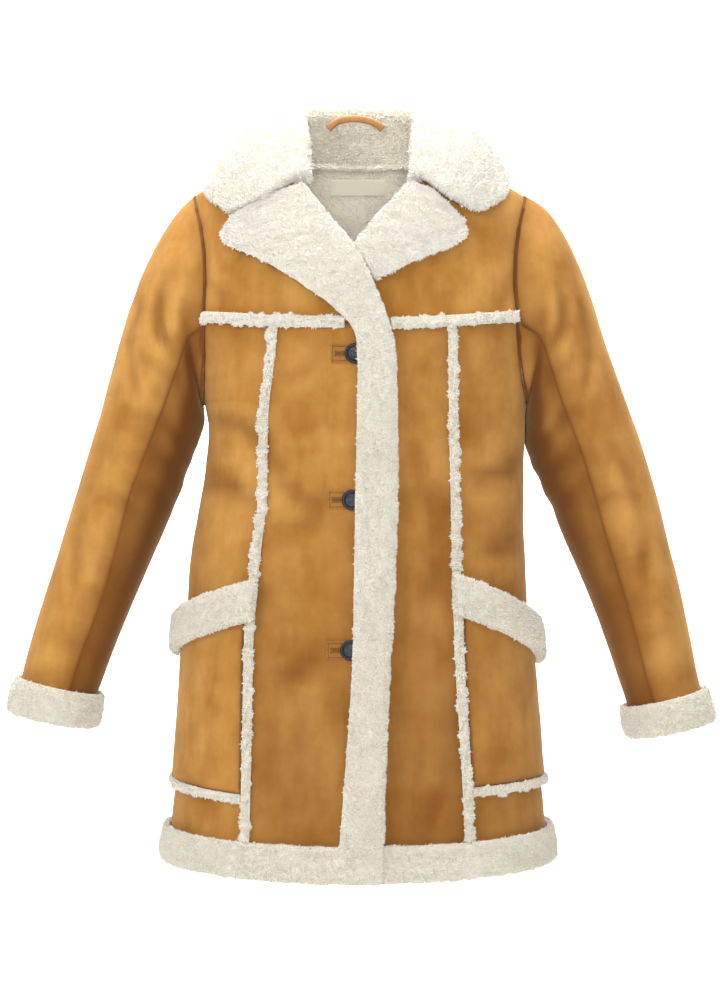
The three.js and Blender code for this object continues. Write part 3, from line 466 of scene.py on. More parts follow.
# Folds, in millimetres, at the front (side -1), the back (1) or both (0), each from one x and height
# to another. A depth below 0 is a ridge.
folds = {
    "body": [
        {"side": -1, "at": (-175, -300, -95, -352), "width": 15, "depth": 2.2},
        {"side": -1, "at": (-183, -372, -120, -395), "width": 13, "depth": 1.4},
        {"side": -1, "at": (183, -345, 118, -372), "width": 14, "depth": 2.0},
        {"side": -1, "at": (185, -430, 128, -448), "width": 15, "depth": 1.6},
        {"side": -1, "at": (-40, -395, -92, -372), "width": 12, "depth": 1.2},
        {"side": -1, "at": (-40, -402, -85, -432), "width": 13, "depth": 1.3},
        {"side": -1, "at": (-45, -238, -86, -262), "width": 11, "depth": 1.0},
        {"side": -1, "at": (-45, -560, -90, -588), "width": 14, "depth": 1.3},
        {"side": -1, "at": (58, -330, 64, -540), "width": 17, "depth": 1.8},
        {"side": -1, "at": (88, -590, 76, -745), "width": 18, "depth": 1.7},
        {"side": -1, "at": (-70, -615, -80, -750), "width": 18, "depth": 1.5},
        {"side": -1, "at": (-170, -150, -150, -186), "width": 10, "depth": 1.2},
        {"side": -1, "at": (168, -140, 150, -180), "width": 10, "depth": 1.2},
        {"side": 0, "at": (192, -262, 190, -345), "width": 16, "depth": -2.5},
        {"side": 1, "at": (-172, -255, -80, -318), "width": 17, "depth": 2.0},
        {"side": 1, "at": (170, -270, 84, -326), "width": 16, "depth": 2.2},
        {"side": 1, "at": (-150, -395, -40, -420), "width": 17, "depth": 1.7},
        {"side": 1, "at": (148, -410, 52, -426), "width": 16, "depth": 1.5},
        {"side": 1, "at": (-120, -560, -104, -745), "width": 22, "depth": 2.4},
        {"side": 1, "at": (112, -540, 124, -740), "width": 21, "depth": 2.1},
        {"side": 1, "at": (-60, -600, -52, -750), "width": 17, "depth": 1.3},
    ],
    "sleeve": [
        {"side": -1, "at": (192, -238, 232, -206), "width": 9, "depth": 0.8},
        {"side": -1, "at": (200, -272, 246, -236), "width": 10, "depth": 1.0},
        {"side": -1, "at": (214, -322, 256, -296), "width": 10, "depth": 0.9},
        {"side": -1, "at": (222, -366, 276, -344), "width": 11, "depth": 0.7},
        {"side": -1, "at": (248, -418, 296, -390), "width": 9, "depth": 0.9},
        {"side": -1, "at": (276, -472, 326, -446), "width": 9, "depth": 0.7},
        {"side": -1, "at": (286, -500, 318, -520), "width": 10, "depth": 0.6},
        {"side": -1, "at": (312, -566, 352, -540), "width": 12, "depth": 0.7},
        {"side": -1, "at": (262, -110, 238, -196), "width": 12, "depth": 0.9},
        {"side": -1, "at": (222, -146, 207, -240), "width": 9, "depth": 2.4},
        {"side": -1, "at": (322, -604, 376, -588), "width": 10, "depth": 0.7},
        {"side": -1, "at": (240, -158, 246, -286), "width": 8, "depth": 1.6},
        {"side": -1, "at": (262, -300, 312, -520), "width": 10, "depth": 1.2},
        {"side": 0, "at": (192, -262, 200, -345), "width": 16, "depth": -3.0},
        {"side": 1, "at": (196, -250, 244, -214), "width": 11, "depth": 1.6},
        {"side": 1, "at": (198, -312, 266, -286), "width": 12, "depth": 1.5},
        {"side": 1, "at": (232, -388, 322, -380), "width": 12, "depth": 1.6},
        {"side": 1, "at": (256, -456, 340, -440), "width": 11, "depth": 1.8},
        {"side": 1, "at": (284, -520, 356, -512), "width": 12, "depth": 1.3},
        {"side": 1, "at": (310, -590, 372, -578), "width": 12, "depth": 1.0},
    ],
}


def foldDepth(points, rows, mirrored):
    # How deep the folds are at each point, in metres. A slight lip runs along one side of each.
    depth = np.zeros(len(points))
    x = -points[:, 0] / mm if mirrored else points[:, 0] / mm
    y = points[:, 1]
    z = points[:, 2] / mm
    for row in rows:
        x0, z0, x1, z1 = row["at"]
        run = np.array([x1 - x0, z1 - z0], float)
        length = np.hypot(*run)
        run /= length
        along = (x - x0) * run[0] + (z - z0) * run[1]
        inside = np.clip(along / length, 0, 1)
        bend = 0.12 * length * np.sin(inside * np.pi)
        across = (x - x0) * -run[1] + (z - z0) * run[0] - bend
        fade = np.sin(np.pi * (0.08 + 0.84 * inside)) ** 0.7
        past = np.clip(np.maximum(-along, along - length) / (0.35 * length), 0, 1)
        onSide = np.clip(0.5 + row["side"] * y / 0.03, 0, 1) if row["side"] else 1.0
        middle = np.exp(-((across / row["width"]) ** 2))
        lip = np.exp(-((across / row["width"] - 1.7) ** 2))
        depth += row["depth"] * mm * (middle - 0.35 * lip) * fade * (1 - past) * onSide
    return depth


def gently(points, scale, seed):
    # Smooth random values, about -1 to 1, one for each point.
    shift = Vector((seed * 3.1, seed * 1.7, seed * 2.3))
    return np.array([noise.noise(Vector(p) / scale + shift) for p in points])


def hollows(mesh, rounds=16):
    # How far each point lies below the slow form round it, in metres. A trough is above 0.
    points, away = coordinates(mesh).astype(float), normals(mesh)
    ends = np.empty(len(mesh.edges) * 2, np.int32)
    mesh.edges.foreach_get("vertices", ends)
    first, second = ends.reshape(-1, 2).T
    total = len(points)
    count = np.bincount(ends, minlength=total)

    def calmed(values):
        for _ in range(rounds):
            around = np.bincount(first, values[second], total) + np.bincount(second, values[first], total)
            values = 0.5 * values + 0.5 * around / count
        return values

    slow = np.column_stack([calmed(points[:, k]) for k in range(3)])
    below = ((slow - points) * away).sum(1)
    return below - calmed(calmed(below))


# A slow swell and a finer ripple over the suede, and how deep a hollow or a ridge marks it fully: a hollow
# with painted shade, a ridge with a painted highlight
surface = {
    "swellSize": 0.055, "swell": 0.9 * mm, "rippleSize": 0.02, "ripple": 0.35 * mm,
    "fold": 8 * mm, "hollow": 1.3 * mm, "ridge": 1.0 * mm,
}


def creased(piece, kind, outward, mirrored=False):
    # Moves the piece's points by its folds and its swell, and marks troughs for painted shade and ridges for
    # a painted highlight.
    mesh = piece.data
    points = coordinates(mesh)
    away = normals(mesh) * outward
    depth = foldDepth(points, folds[kind], mirrored)
    swell = gently(points, surface["swellSize"], 4.0) * surface["swell"]
    swell += gently(points, surface["rippleSize"], 9.0) * surface["ripple"]
    points = points + away * (swell - depth)[:, None]
    mesh.vertices.foreach_set("co", points.astype(np.float32).ravel())
    mesh.update()
    below = hollows(mesh) * outward
    # Painted shade in the folds and troughs, and a painted highlight on the ridges
    store(mesh, "crease", np.clip(depth / surface["fold"] + below / surface["hollow"], 0, 1))
    store(mesh, "ridge", np.clip(-below / surface["ridge"], 0, 1))


def rimPoints(mesh):
    # A search tree of points, a step or less apart, along the piece's open edges.
    bm = bmesh.new()
    bm.from_mesh(mesh)
    found = []
    for edge in bm.edges:
        if edge.is_boundary:
            a, b = (v.co.copy() for v in edge.verts)
            steps = max(1, int((b - a).length / panel["rimStep"]))
            found += [a.lerp(b, i / steps) for i in range(steps + 1)]
    bm.free()
    tree = KDTree(len(found))
    for i, p in enumerate(found):
        tree.insert(p, i)
    tree.balance()
    return tree


def widened(mesh, reach, armhole=0):
    # Moves the open edges outwards along the face, so that pieces sewn together meet. At the
    # armhole the sleeve reaches further.
    bm = bmesh.new()
    bm.from_mesh(mesh)
    moves = {}
    for vert in bm.verts:
        if vert.is_boundary:
            inner = [e.other_vert(vert).co for e in vert.link_edges if not e.is_boundary]
            rim = [e.other_vert(vert).co for e in vert.link_edges if e.is_boundary]
            if inner and len(rim) == 2:
                along = (rim[1] - rim[0]).normalized()
                away = vert.co - sum(inner, Vector()) / len(inner)
                away -= along * away.dot(along)
                atBody = armhole and bodyTree.find_nearest(vert.co)[3] < panel["nearBody"]
                moves[vert] = away.normalized() * (armhole if atBody else reach)
    for vert, move in moves.items():
        vert.co += move
    bm.to_mesh(mesh)
    bm.free()


# How far the suede darkens from an edge, from a pocket's edge and from the wool, and how much there. Beside
# the wool the darkening is painted shadow
seamShade = {"edge": 9 * mm, "pocketEdge": 7 * mm, "wool": 11 * mm, "woolShare": 0.6}


def darkSeamsAndShade(piece, tree, reach):
    # Marks the suede darker along its own edges, a dark seam with painted shade in its groove, and close to
    # the wool, as painted shadow under its edge.
    mesh = piece.data
    near = np.array([tree.find(v.co)[2] for v in mesh.vertices])
    wool = np.array([woolTree.find_nearest(v.co)[3] for v in mesh.vertices])
    woolShadow = seamShade["woolShare"] * np.exp(-((wool / seamShade["wool"]) ** 1.3))
    store(mesh, "seam", np.maximum(np.exp(-((near / reach) ** 1.3)), woolShadow))


# The suede's thickness, the room between it and the wool, the wool's greatest thickness and the
# bevel of an edge. Then how far suede reaches into a seam and an armhole, and wool into a seam, and
# a pocket's thickness. Then how near the body a sleeve's edge is an armhole's, the wool's least
# thickness and the step along an edge. Last, the lining's lumps and how far it is set back.
panel = {
    "skin": 2.2 * mm, "gap": 0.3 * mm, "wool": 3.2 * mm, "edge": 1.0 * mm, "levels": 2,
    "meet": 0.45 * mm, "armhole": 1.8 * mm, "overlap": 1.0 * mm, "pocket": 4.4 * mm,
    "nearBody": 4 * mm, "woolLeast": 0.15 * mm, "rimStep": 3 * mm,
    "lump": 11 * mm, "lumpDepth": 1.0 * mm, "liningInset": 0.5 * mm,
}


def solid(piece, thickness, shares=None):
    # Gives the face a wall. With shares, its edge and its far side are suede, as a cut hide is.
    wall = piece.modifiers.new("wall", "SOLIDIFY")
    wall.thickness = thickness
    if shares is not None:
        piece.data.materials.append(finishes["suede"])
        wall.material_offset = wall.material_offset_rim = 1
        group = piece.vertex_groups.new(name="room")
        for i, share in enumerate(shares):
            group.add([i], float(share), "REPLACE")
        wall.vertex_group = group.name
    wall.offset = -1
    wall.use_even_offset = shares is None and thickness > 3 * mm
    wall.use_quality_normals = True
    edge = piece.modifiers.new("edge", "BEVEL")
    edge.width = min(panel["edge"], 0.42 * thickness)
    edge.segments = 2
    edge.limit_method = "ANGLE"
    edge.angle_limit = math.radians(60)
    bake(piece)
    shadeSmooth(piece)


def camel(node):
    first, *rest = node.split("_")
    return first + "".join(word.capitalize() for word in rest)


def nodeGroup(name, **kinds):
    # A Geometry Nodes group with named inputs, and a function that puts a node in it.
    tree = bpy.data.node_groups.new(name, "GeometryNodeTree")
    face = tree.interface
    face.new_socket("Geometry", in_out="INPUT", socket_type="NodeSocketGeometry")
    inputs = {}
    for title, kind in kinds.items():
        inputs[title] = face.new_socket(title, in_out="INPUT", socket_type="NodeSocket" + kind).identifier
    face.new_socket("Geometry", in_out="OUTPUT", socket_type="NodeSocketGeometry")

    def make(kind, settings=None, **values):
        made = tree.nodes.new(kind)
        for key, value in (settings or {}).items():
            setattr(made, key, value)
        for key, value in values.items():
            numbered = key[0] == "i" and key[1:].isdigit()
            socket = made.inputs[int(key[1:]) if numbered else key.replace("_", " ")]
            if hasattr(value, "links"):
                tree.links.new(value, socket)
            else:
                socket.default_value = value
        return made.outputs

    given = make("NodeGroupInput")

    def finished(geometry):
        # Makes the copies real, gives them their finish and ends the group.
        real = make("GeometryNodeRealizeInstances", i0=geometry)[0]
        painted = make("GeometryNodeSetMaterial", Geometry=real, Material=given["Finish"])[0]
        tree.links.new(painted, tree.nodes.new("NodeGroupOutput").inputs[0])
        return tree, inputs

    return make, given, finished


def chance(make, low, high, seed, kind="FLOAT"):
    # A random value for each point.
    made = make("FunctionNodeRandomValue", {"data_type": kind})
    for socket in made[0].node.inputs:
        if socket.enabled and socket.name in ("Min", "Max", "Seed"):
            socket.default_value = {"Min": low, "Max": high, "Seed": seed}[socket.name]
    return next(s for s in made if s.enabled)


# The pile: short tapered locks spread over a face and leaning every way
pile = {"spacing": 1.25 * mm, "length": 2.8 * mm, "width": 2.2 * mm, "lean": 0.7, "fill": 1.6}


def pileTree():
    make, given, finished = nodeGroup(
        "pile", Spacing="Float", Length="Float", Width="Float", Lean="Float", Seed="Int", Finish="Material",
    )
    grow = make("GeometryNodeInputNamedAttribute", {"data_type": "FLOAT"}, Name="grow")
    closeness = make("ShaderNodeMath", {"operation": "POWER"}, i0=given["Spacing"], i1=-2.0)
    density = make("ShaderNodeMath", {"operation": "MULTIPLY"}, i0=closeness[0], i1=pile["fill"])
    spots = make(
        "GeometryNodeDistributePointsOnFaces", {"distribute_method": "POISSON"},
        Mesh=given["Geometry"], Distance_Min=given["Spacing"], Density_Max=density[0],
        Density_Factor=grow["Attribute"], Seed=given["Seed"],
    )
    lock = make(
        "GeometryNodeMeshCone", {"fill_type": "NONE"},
        Vertices=3, Radius_Top=0.0, Radius_Bottom=0.5, Depth=1.0,
    )
    # The height along each lock, which gives painted shade at its root
    height = make("ShaderNodeSeparateXYZ", i0=make("GeometryNodeInputPosition")[0])
    named = make(
        "GeometryNodeStoreNamedAttribute", {"data_type": "FLOAT", "domain": "POINT"},
        Name="reach", Geometry=lock["Mesh"], Value=height["Z"],
    )
    anyway = chance(make, (-1, -1, -3.1), (1, 1, 3.1), 3, "FLOAT_VECTOR")
    tilt = make("ShaderNodeVectorMath", {"operation": "SCALE"}, i0=anyway, Scale=given["Lean"])
    euler = make("FunctionNodeEulerToRotation", Euler=tilt[0])
    turn = make(
        "FunctionNodeRotateRotation", {"rotation_space": "LOCAL"},
        Rotation=spots["Rotation"], Rotate_By=euler[0],
    )
    wider, taller = chance(make, 0.7, 1.3, 5), chance(make, 0.55, 1.25, 7)
    wide = make("ShaderNodeMath", {"operation": "MULTIPLY"}, i0=given["Width"], i1=wider)
    tall = make("ShaderNodeMath", {"operation": "MULTIPLY"}, i0=given["Length"], i1=taller)
    size = make("ShaderNodeCombineXYZ", X=wide[0], Y=wide[0], Z=tall[0])
    each = make(
        "GeometryNodeInstanceOnPoints",
        Points=spots["Points"], Instance=named["Geometry"], Rotation=turn[0], Scale=size[0],
    )
    return finished(each[0])


pileNodes, pileInputs = pileTree()


def growPile(base, name, seed, spacing=1.0, length=1.0, width=1.0):
    # A separate piece of locks that stand on the base where its grow value is 1.
    locks = bpy.data.objects.new(name, base.data.copy())
    bpy.context.scene.collection.objects.link(locks)
    growth = locks.modifiers.new("growth", "NODES")
    growth.node_group = pileNodes
    growth[pileInputs["Spacing"]] = pile["spacing"] * spacing
    growth[pileInputs["Length"]] = pile["length"] * length
    growth[pileInputs["Width"]] = pile["width"] * width
    growth[pileInputs["Lean"]] = pile["lean"]
    growth[pileInputs["Seed"]] = seed
    growth[pileInputs["Finish"]] = finishes["wool"]
    bake(locks)
    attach(locks, "root")
    return locks


def solidsTree(wanted):
    # The wanted solids in one search tree.
    verts, faces = [], []
    for name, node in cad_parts.items():
        if not wanted(name):
            continue
        base = len(verts)
        verts += [v.co.copy() for v in node.data.vertices]
        faces += [[base + i for i in p.vertices] for p in node.data.polygons]
    return BVHTree.FromPolygons(verts, faces)


def openShare(mesh, node, reach):
    # 1 at the points that no other solid covers within reach, 0 at the others.
    others = solidsTree(lambda name: name != node)
    points, away = coordinates(mesh), normals(mesh)
    hits = [others.ray_cast(Vector(p), Vector(n), reach)[0] for p, n in zip(points, away)]
    return np.array([float(hit is None) for hit in hits])


def isWool(name):
    return any(word in name for word in ("collar", "lapel", "band", "cuff", "strip"))


woolTree = solidsTree(isWool)


# Suede panels: a skin with the folds, and the wool on its inside

# How much darker than the rest: all over a piece, low on it (between two heights, in metres), and
# on a sleeve's inner side. On the sleeves it is painted shade, deepest on the inner side that turns
# from the light and close to the body; elsewhere the suede is simply darker there, the yokes lighter
lowFrom, lowTo = -0.38, -0.62
darkAndShadeRules = {
    "sleeve_upper_right": {"all": 0.0, "inner": 0.6},
    "sleeve_under_right": {"all": 0.25, "inner": 0.6},
    "sleeve_upper_left": {"all": 0.12, "inner": 0.45},
    "sleeve_under_left": {"all": 0.25, "inner": 0.55},
    "centre_front_right": {"all": 0.05, "low": 0.30},
    "side_front_right": {"all": 0.02, "low": 0.05},
    "centre_front_left": {"all": 0.14, "low": 0.36},
    "side_front_left": {"all": 0.10, "low": 0.25},
    "pocket_left": {"all": 0.20},
    "yoke_front_right": {"all": -0.08},
    "yoke_front_left": {"all": -0.08},
    "back_right": {"all": 0.05, "low": 0.15},
    "back_left": {"all": 0.05, "low": 0.15},
}
bodyTree = solidsTree(lambda name: "front" in name or "back" in name)


def darkAndShadeShare(node, mesh):
    # How much darker the suede is at each point, with painted shade on the sleeves.
    rule = darkAndShadeRules.get(node, {})
    points, away = coordinates(mesh), normals(mesh)
    low = np.clip((points[:, 2] - lowFrom) / (lowTo - lowFrom), 0, 1)
    worn = rule.get("all", 0.0) + rule.get("low", 0.0) * low
    # Painted shade on a sleeve's inner side, where it turns from the light, and deeper close to the body
    if "inner" in rule:
        sign = -1 if node.endswith("right") else 1
        outward = away @ np.array([sign * 0.9, 0.0, 0.43])  # nearly square to the arm
        body = np.array([bodyTree.find_nearest(Vector(p))[3] for p in points])
        worn = worn + np.clip(0.15 - outward, 0, 1) * rule["inner"]
        worn = worn + np.clip(0.1 - outward, 0, 1) * 0.6 * np.exp(-body / (40 * mm))
    return np.clip(worn, -0.2, 0.95) * np.ones(len(points))


def roomBehind(mesh, node):
    # How thick the wool may be at each point, so that it stays under the suede.
    wall = BVHTree.FromBMesh(merged(node))
    room = []
    for p, n in zip(coordinates(mesh), normals(mesh)):
        start = Vector(p) + Vector(n) * panel["wool"]
        spans = []
        for _ in range(3):
            hit = wall.ray_cast(start, -Vector(n), 20 * mm)
            if hit[0] is None:
                break
            spans.append((hit[0] - Vector(p)).dot(-Vector(n)))
            start = hit[0] - Vector(n) * 0.05 * mm
        room.append(max(spans, default=0) - panel["skin"] - panel["gap"])
    return np.clip(room, panel["woolLeast"], panel["wool"])


def makePanel(node, line, kind, mirrored, seed):
    # The skin on the side that looks away from the line, and the wool on the other.
    bm = merged(node)
    outer, inner = sorted(regions(bm)[:2], key=lambda r: -facing(r, line))
    skin = newPiece(camel(node) + "Skin", onlyFaces(bm, outer), finishes["suede"])
    lining = newPiece(camel(node) + "Wool", onlyFaces(bm, inner), finishes["wool"])
    bm.free()
    smoothed(skin, panel["levels"])
    creased(skin, kind, 1, mirrored)
    tree = rimPoints(skin.data)
    widened(skin.data, panel["meet"], panel["armhole"] if kind == "sleeve" else 0)
    solid(skin, panel["skin"])
    darkSeamsAndShade(skin, tree, seamShade["edge"])
    # How much darker the suede is, with painted shade on the sleeves
    store(skin.data, "worn", darkAndShadeShare(node, skin.data))
    smoothed(lining, 1 if kind == "sleeve" else panel["levels"])
    creased(lining, kind, -1, mirrored)
    widened(lining.data, panel["overlap"])
    points = coordinates(lining.data)
    lumps = gently(points, panel["lump"], seed + 20) * panel["lumpDepth"]
    points += normals(lining.data) * (lumps - panel["liningInset"])[:, None]
    lining.data.vertices.foreach_set("co", points.ravel())
    solid(lining, panel["wool"], roomBehind(lining.data, node) / panel["wool"])
    count = len(lining.data.vertices)
    # Painted shade: the lining wool is coloured part way to its roots
    store(lining.data, "reach", np.full(count, 0.35))
    # The lining's suede edge and far side, seen through the joints, are painted fully dark as shade
    store(lining.data, "seam", np.full(count, 1.0))
    for piece, slot in ((skin, "suede"), (lining, "wool")):
        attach(piece, "root")
    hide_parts(node)
    return skin, lining


spine = (Vector((0, 0, 0.1)), Vector((0, 0, -0.9)))  # a line down the middle of the body


def armLine(side):
    # From the middle of the armhole to the middle of the cuff.
    sign = -1 if side == "right" else 1
    low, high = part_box(f"cuff_{side}")
    return Vector((sign * 0.19, 0, -0.165)), (low + high) / 2


bodyPanels = ("yoke_front", "centre_front", "side_front", "back")
sleevePanels = ("sleeve_upper", "sleeve_under")
panels = {}
linings = {}
for side in ("right", "left"):
    for name in bodyPanels + sleevePanels:
        node = f"{name}_{side}"
        if name in bodyPanels:
            made = makePanel(node, spine, "body", False, len(panels) + 1)
        else:
            made = makePanel(node, armLine(side), "sleeve", side == "right", len(panels) + 1)
        panels[node], linings[node] = made
print("panels made:", len(panels))


def makePocket(side):
    # A patch with the body's own folds. Its far side lies on the coat.
    node = f"pocket_{side}"
    bm = merged(node)
    outer = max(regions(bm)[:2], key=lambda r: facing(r, spine))
    skin = newPiece(camel(node) + "Skin", onlyFaces(bm, outer), finishes["suede"])
    bm.free()
    smoothed(skin, panel["levels"])
    creased(skin, "body", 1)
    tree = rimPoints(skin.data)
    solid(skin, panel["pocket"])
    darkSeamsAndShade(skin, tree, seamShade["pocketEdge"])
    # How much darker the suede is at each point
    store(skin.data, "worn", darkAndShadeShare(node, skin.data))
    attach(skin, "root")
    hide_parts(node)
    return skin


pockets = {side: makePocket(side) for side in ("right", "left")}
print("pockets made")


# Wool pieces: a curled base and the pile on it
curls = {"size": 9 * mm, "depth": 3.4 * mm, "inset": 1.2 * mm, "covered": 14 * mm}


def makeBand(node, seed, levels=2, inset=1.0, depth=1.0, **sizes):
    # The solid's own form, lumpy and drawn in where nothing covers it, and the locks that grow there.
    bm = merged(node)
    crease = bm.edges.layers.float.new("crease_edge")
    for edge in bm.edges:
        if sharp(edge, 62):
            edge[crease] = 0.45
    base = newPiece(camel(node) + "Fleece", bm, finishes["wool"])
    smoothed(base, levels)
    mesh = base.data
    points = coordinates(mesh)
    away = normals(mesh)
    shares = openShare(mesh, node, curls["covered"])
    lumps = gently(points, curls["size"], seed) + 0.6 * gently(points, curls["size"] * 0.42, seed + 5)
    move = (lumps * curls["depth"] * 0.6 * depth - curls["inset"] * inset) * shares
    points = points + away * move[:, None]
    mesh.vertices.foreach_set("co", points.astype(np.float32).ravel())
    mesh.update()
    store(mesh, "grow", shares)
    # Painted shade between the lumps: the lower points take more of the roots' colour
    store(mesh, "reach", np.clip(0.25 + 0.25 * lumps, 0, 1))
    locks = growPile(base, camel(node) + "Pile", seed, **sizes)
    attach(base, "root")
    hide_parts(node)
    return base, locks


# How the collar and the strips differ from the other bands: subdivision, how far the base is drawn
# in under the locks, the depth of its lumps and the size of its locks
collarLook = {"inset": -0.6, "spacing": 1.25, "length": 1.2, "width": 1.3}
stripLook = {"levels": 3, "inset": 0.6, "depth": 2.0, "length": 0.9}
edgings = (
    "hem_band_front_right", "hem_band_front_left", "hem_band_back", "cuff_right", "cuff_left",
    "pocket_cuff_right", "pocket_cuff_left",
)
strips = [name for name in sorted(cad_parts) if "_strip_" in name]
bands = {
    "collar": makeBand("collar", 31, **collarLook),
    "lapel_and_band_right": makeBand("lapel_and_band_right", 32),
    "lapel_left": makeBand("lapel_left", 33, inset=0.2),
}
bands.update({name: makeBand(name, 40 + i) for i, name in enumerate(edgings)})
bands.update({name: makeBand(name, 60 + i, **stripLook) for i, name in enumerate(strips)})
print("wool bands made:", len(bands))


# Trim

def trimPiece(node, name, finish):
    # A small solid with its edges softened.
    bm = merged(node)
    crease = bm.edges.layers.float.new("crease_edge")
    for edge in bm.edges:
        if sharp(edge, 40):
            edge[crease] = 0.6
    piece = newPiece(name, bm, finishes[finish])
    smoothed(piece, 2)
    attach(piece, "root")
    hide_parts(node)
    return piece


def discFrame(node):
    # The middle of a button's back, the way it faces, and a level and an upright line across it.
    points = coordinates(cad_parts[node].data).astype(float)
    centre = points.mean(0)
    direction = np.linalg.svd(points - centre)[2][2]
    if direction[1] > 0:
        direction = -direction
    out = Vector(direction).normalized()
    across = Vector((0, 0, 1)).cross(out).normalized()
    low = min((Vector(p) - Vector(centre)).dot(out) for p in points)
    return Vector(centre) + out * low, out, across, out.cross(across)


# The profile runs from the middle of the back to the middle of the face: radius and height in
# millimetres. The thread crosses the holes in two bars and goes down through each.
buttonShape = {
    "segments": 48, "hole": 1.0 * mm, "holeOffset": 2.1 * mm, "holeDepth": 5 * mm, "bevel": 0.18 * mm,
    "profile": [
        (0, 0), (9.6, 0), (10.8, 0.5), (11.3, 1.4), (11.2, 2.5), (10.5, 3.1), (9.3, 3.15),
        (8.3, 2.7), (7.7, 2.2), (6.4, 1.95), (0, 1.9),
    ],
    "thread": 0.38 * mm, "threadSpread": 0.35 * mm, "threadHeight": 2.35 * mm, "threadPast": 0.4 * mm,
    "leg": (0.6 * mm, 0.5 * mm), "legHeight": 1.3 * mm, "legLength": 2.2 * mm, "legOut": 0.2 * mm,
}
fourHoles = [(sx, sy) for sx in (-1, 1) for sy in (-1, 1)]


def addRod(bm, place, radii, length, segments):
    ends = {"radius1": radii[0], "radius2": radii[1], "depth": length}
    bmesh.ops.create_cone(bm, cap_ends=True, segments=segments, matrix=place, **ends)


def buttonDisc(shape):
    # The profile turned once round.
    bm = bmesh.new()
    count = shape["segments"]
    angles = [2 * math.pi * i / count for i in range(count)]
    rings = []
    for radius, height in shape["profile"]:
        around = angles if radius else [0]
        r, z = radius * mm, height * mm
        rings.append([bm.verts.new((r * math.cos(a), r * math.sin(a), z)) for a in around])
    for low, high in zip(rings, rings[1:]):
        for i in range(count):
            j = (i + 1) % count
            corners = [low[i % len(low)], low[j % len(low)], high[j % len(high)], high[i % len(high)]]
            bm.faces.new(list(dict.fromkeys(corners)))
    bmesh.ops.recalc_face_normals(bm, faces=bm.faces)
    return bm


def buttonThread(shape):
    thread = bmesh.new()
    offset = shape["holeOffset"]
    level = Matrix.Rotation(math.radians(90), 4, "Y")
    for sy in (-1, 1):
        for side in (-1, 1):
            y = sy * offset + side * shape["threadSpread"]
            place = Matrix.Translation((0, y, shape["threadHeight"])) @ level
            addRod(thread, place, (shape["thread"], shape["thread"]), 2 * (offset + shape["threadPast"]), 8)
    for sx, sy in fourHoles:
        place = Matrix.Translation((sx * (offset + shape["legOut"]), sy * offset, shape["legHeight"]))
        addRod(thread, place, shape["leg"], shape["legLength"], 8)
    return thread


def makeButton(node):
    shape = buttonShape
    foot, out, across, up = discFrame(node)
    turn = Matrix((across, up, out)).transposed().to_4x4()
    turn.translation = foot
    button = newPiece(camel(node) + "Disc", buttonDisc(shape), finishes["horn"])
    drills = bmesh.new()
    offset = shape["holeOffset"]
    for sx, sy in fourHoles:
        place = Matrix.Translation((sx * offset, sy * offset, 1.5 * mm))
        addRod(drills, place, (shape["hole"], shape["hole"]), shape["holeDepth"], 14)
    tool = newPiece("drill", drills, finishes["horn"])
    cut = button.modifiers.new("holes", "BOOLEAN")
    cut.object = tool
    cut.solver = "EXACT"
    soften = button.modifiers.new("soften", "BEVEL")
    soften.width = shape["bevel"]
    soften.segments = 2
    soften.limit_method = "ANGLE"
    soften.angle_limit = math.radians(40)
    bake(button)
    bpy.data.objects.remove(tool)
    shadeSmooth(button)
    button.data.transform(turn)
    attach(button, "root")
    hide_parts(node)
    stitches = newPiece(camel(node) + "Thread", buttonThread(shape), finishes["darkThread"])
    shadeSmooth(stitches)
    stitches.data.transform(turn)
    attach(stitches, "root")


buttonNumbers = (1, 2, 3)
for number in buttonNumbers:
    makeButton(f"button_{number}")
print("buttons made:", len(buttonNumbers))


stitch = {"pitch": 2.4 * mm, "length": 2.16 * mm, "thickness": 1.0 * mm}


def stitchTree():
    # Short rounded stitches laid end to end along a path.
    make, given, finished = nodeGroup(
        "stitches", Pitch="Float", Length="Float", Thickness="Float", Finish="Material",
    )
    path = make("GeometryNodeMeshToCurve", i0=given["Geometry"])
    even = make("GeometryNodeResampleCurve", {"mode": "LENGTH"}, Curve=path[0], Length=given["Pitch"])
    spots = make("GeometryNodeCurveToPoints", {"mode": "EVALUATED"}, i0=even[0])
    bead = make("GeometryNodeMeshUVSphere", Segments=6, Rings=4, Radius=0.5)
    size = make("ShaderNodeCombineXYZ", X=given["Thickness"], Y=given["Thickness"], Z=given["Length"])
    turn = make("FunctionNodeAlignRotationToVector", {"axis": "Z"}, Vector=spots["Tangent"])
    each = make(
        "GeometryNodeInstanceOnPoints",
        Points=spots["Points"], Instance=bead["Mesh"], Rotation=turn[0], Scale=size[0],
    )
    return finished(each[0])


stitchNodes, stitchInputs = stitchTree()


def sewRows(name, rows):
    # Stitches along each row of points.
    bm = bmesh.new()
    for row in rows:
        verts = [bm.verts.new(p) for p in row]
        for a, b in zip(verts, verts[1:]):
            bm.edges.new((a, b))
    sewn = newPiece(name, bm, finishes["brownThread"])
    sewing = sewn.modifiers.new("sewing", "NODES")
    sewing.node_group = stitchNodes
    sewing[stitchInputs["Pitch"]] = stitch["pitch"]
    sewing[stitchInputs["Length"]] = stitch["length"]
    sewing[stitchInputs["Thickness"]] = stitch["thickness"]
    sewing[stitchInputs["Finish"]] = finishes["brownThread"]
    bake(sewn)
    shadeSmooth(sewn)
    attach(sewn, "root")
    return sewn


def laid(tree, x, z, lift):
    # The front face's point at this x and height.
    hit = tree.ray_cast(Vector((x, -0.4, z)), Vector((0, 1, 0)))
    if hit[0] is None:
        return None
    return hit[0] + hit[1] * lift


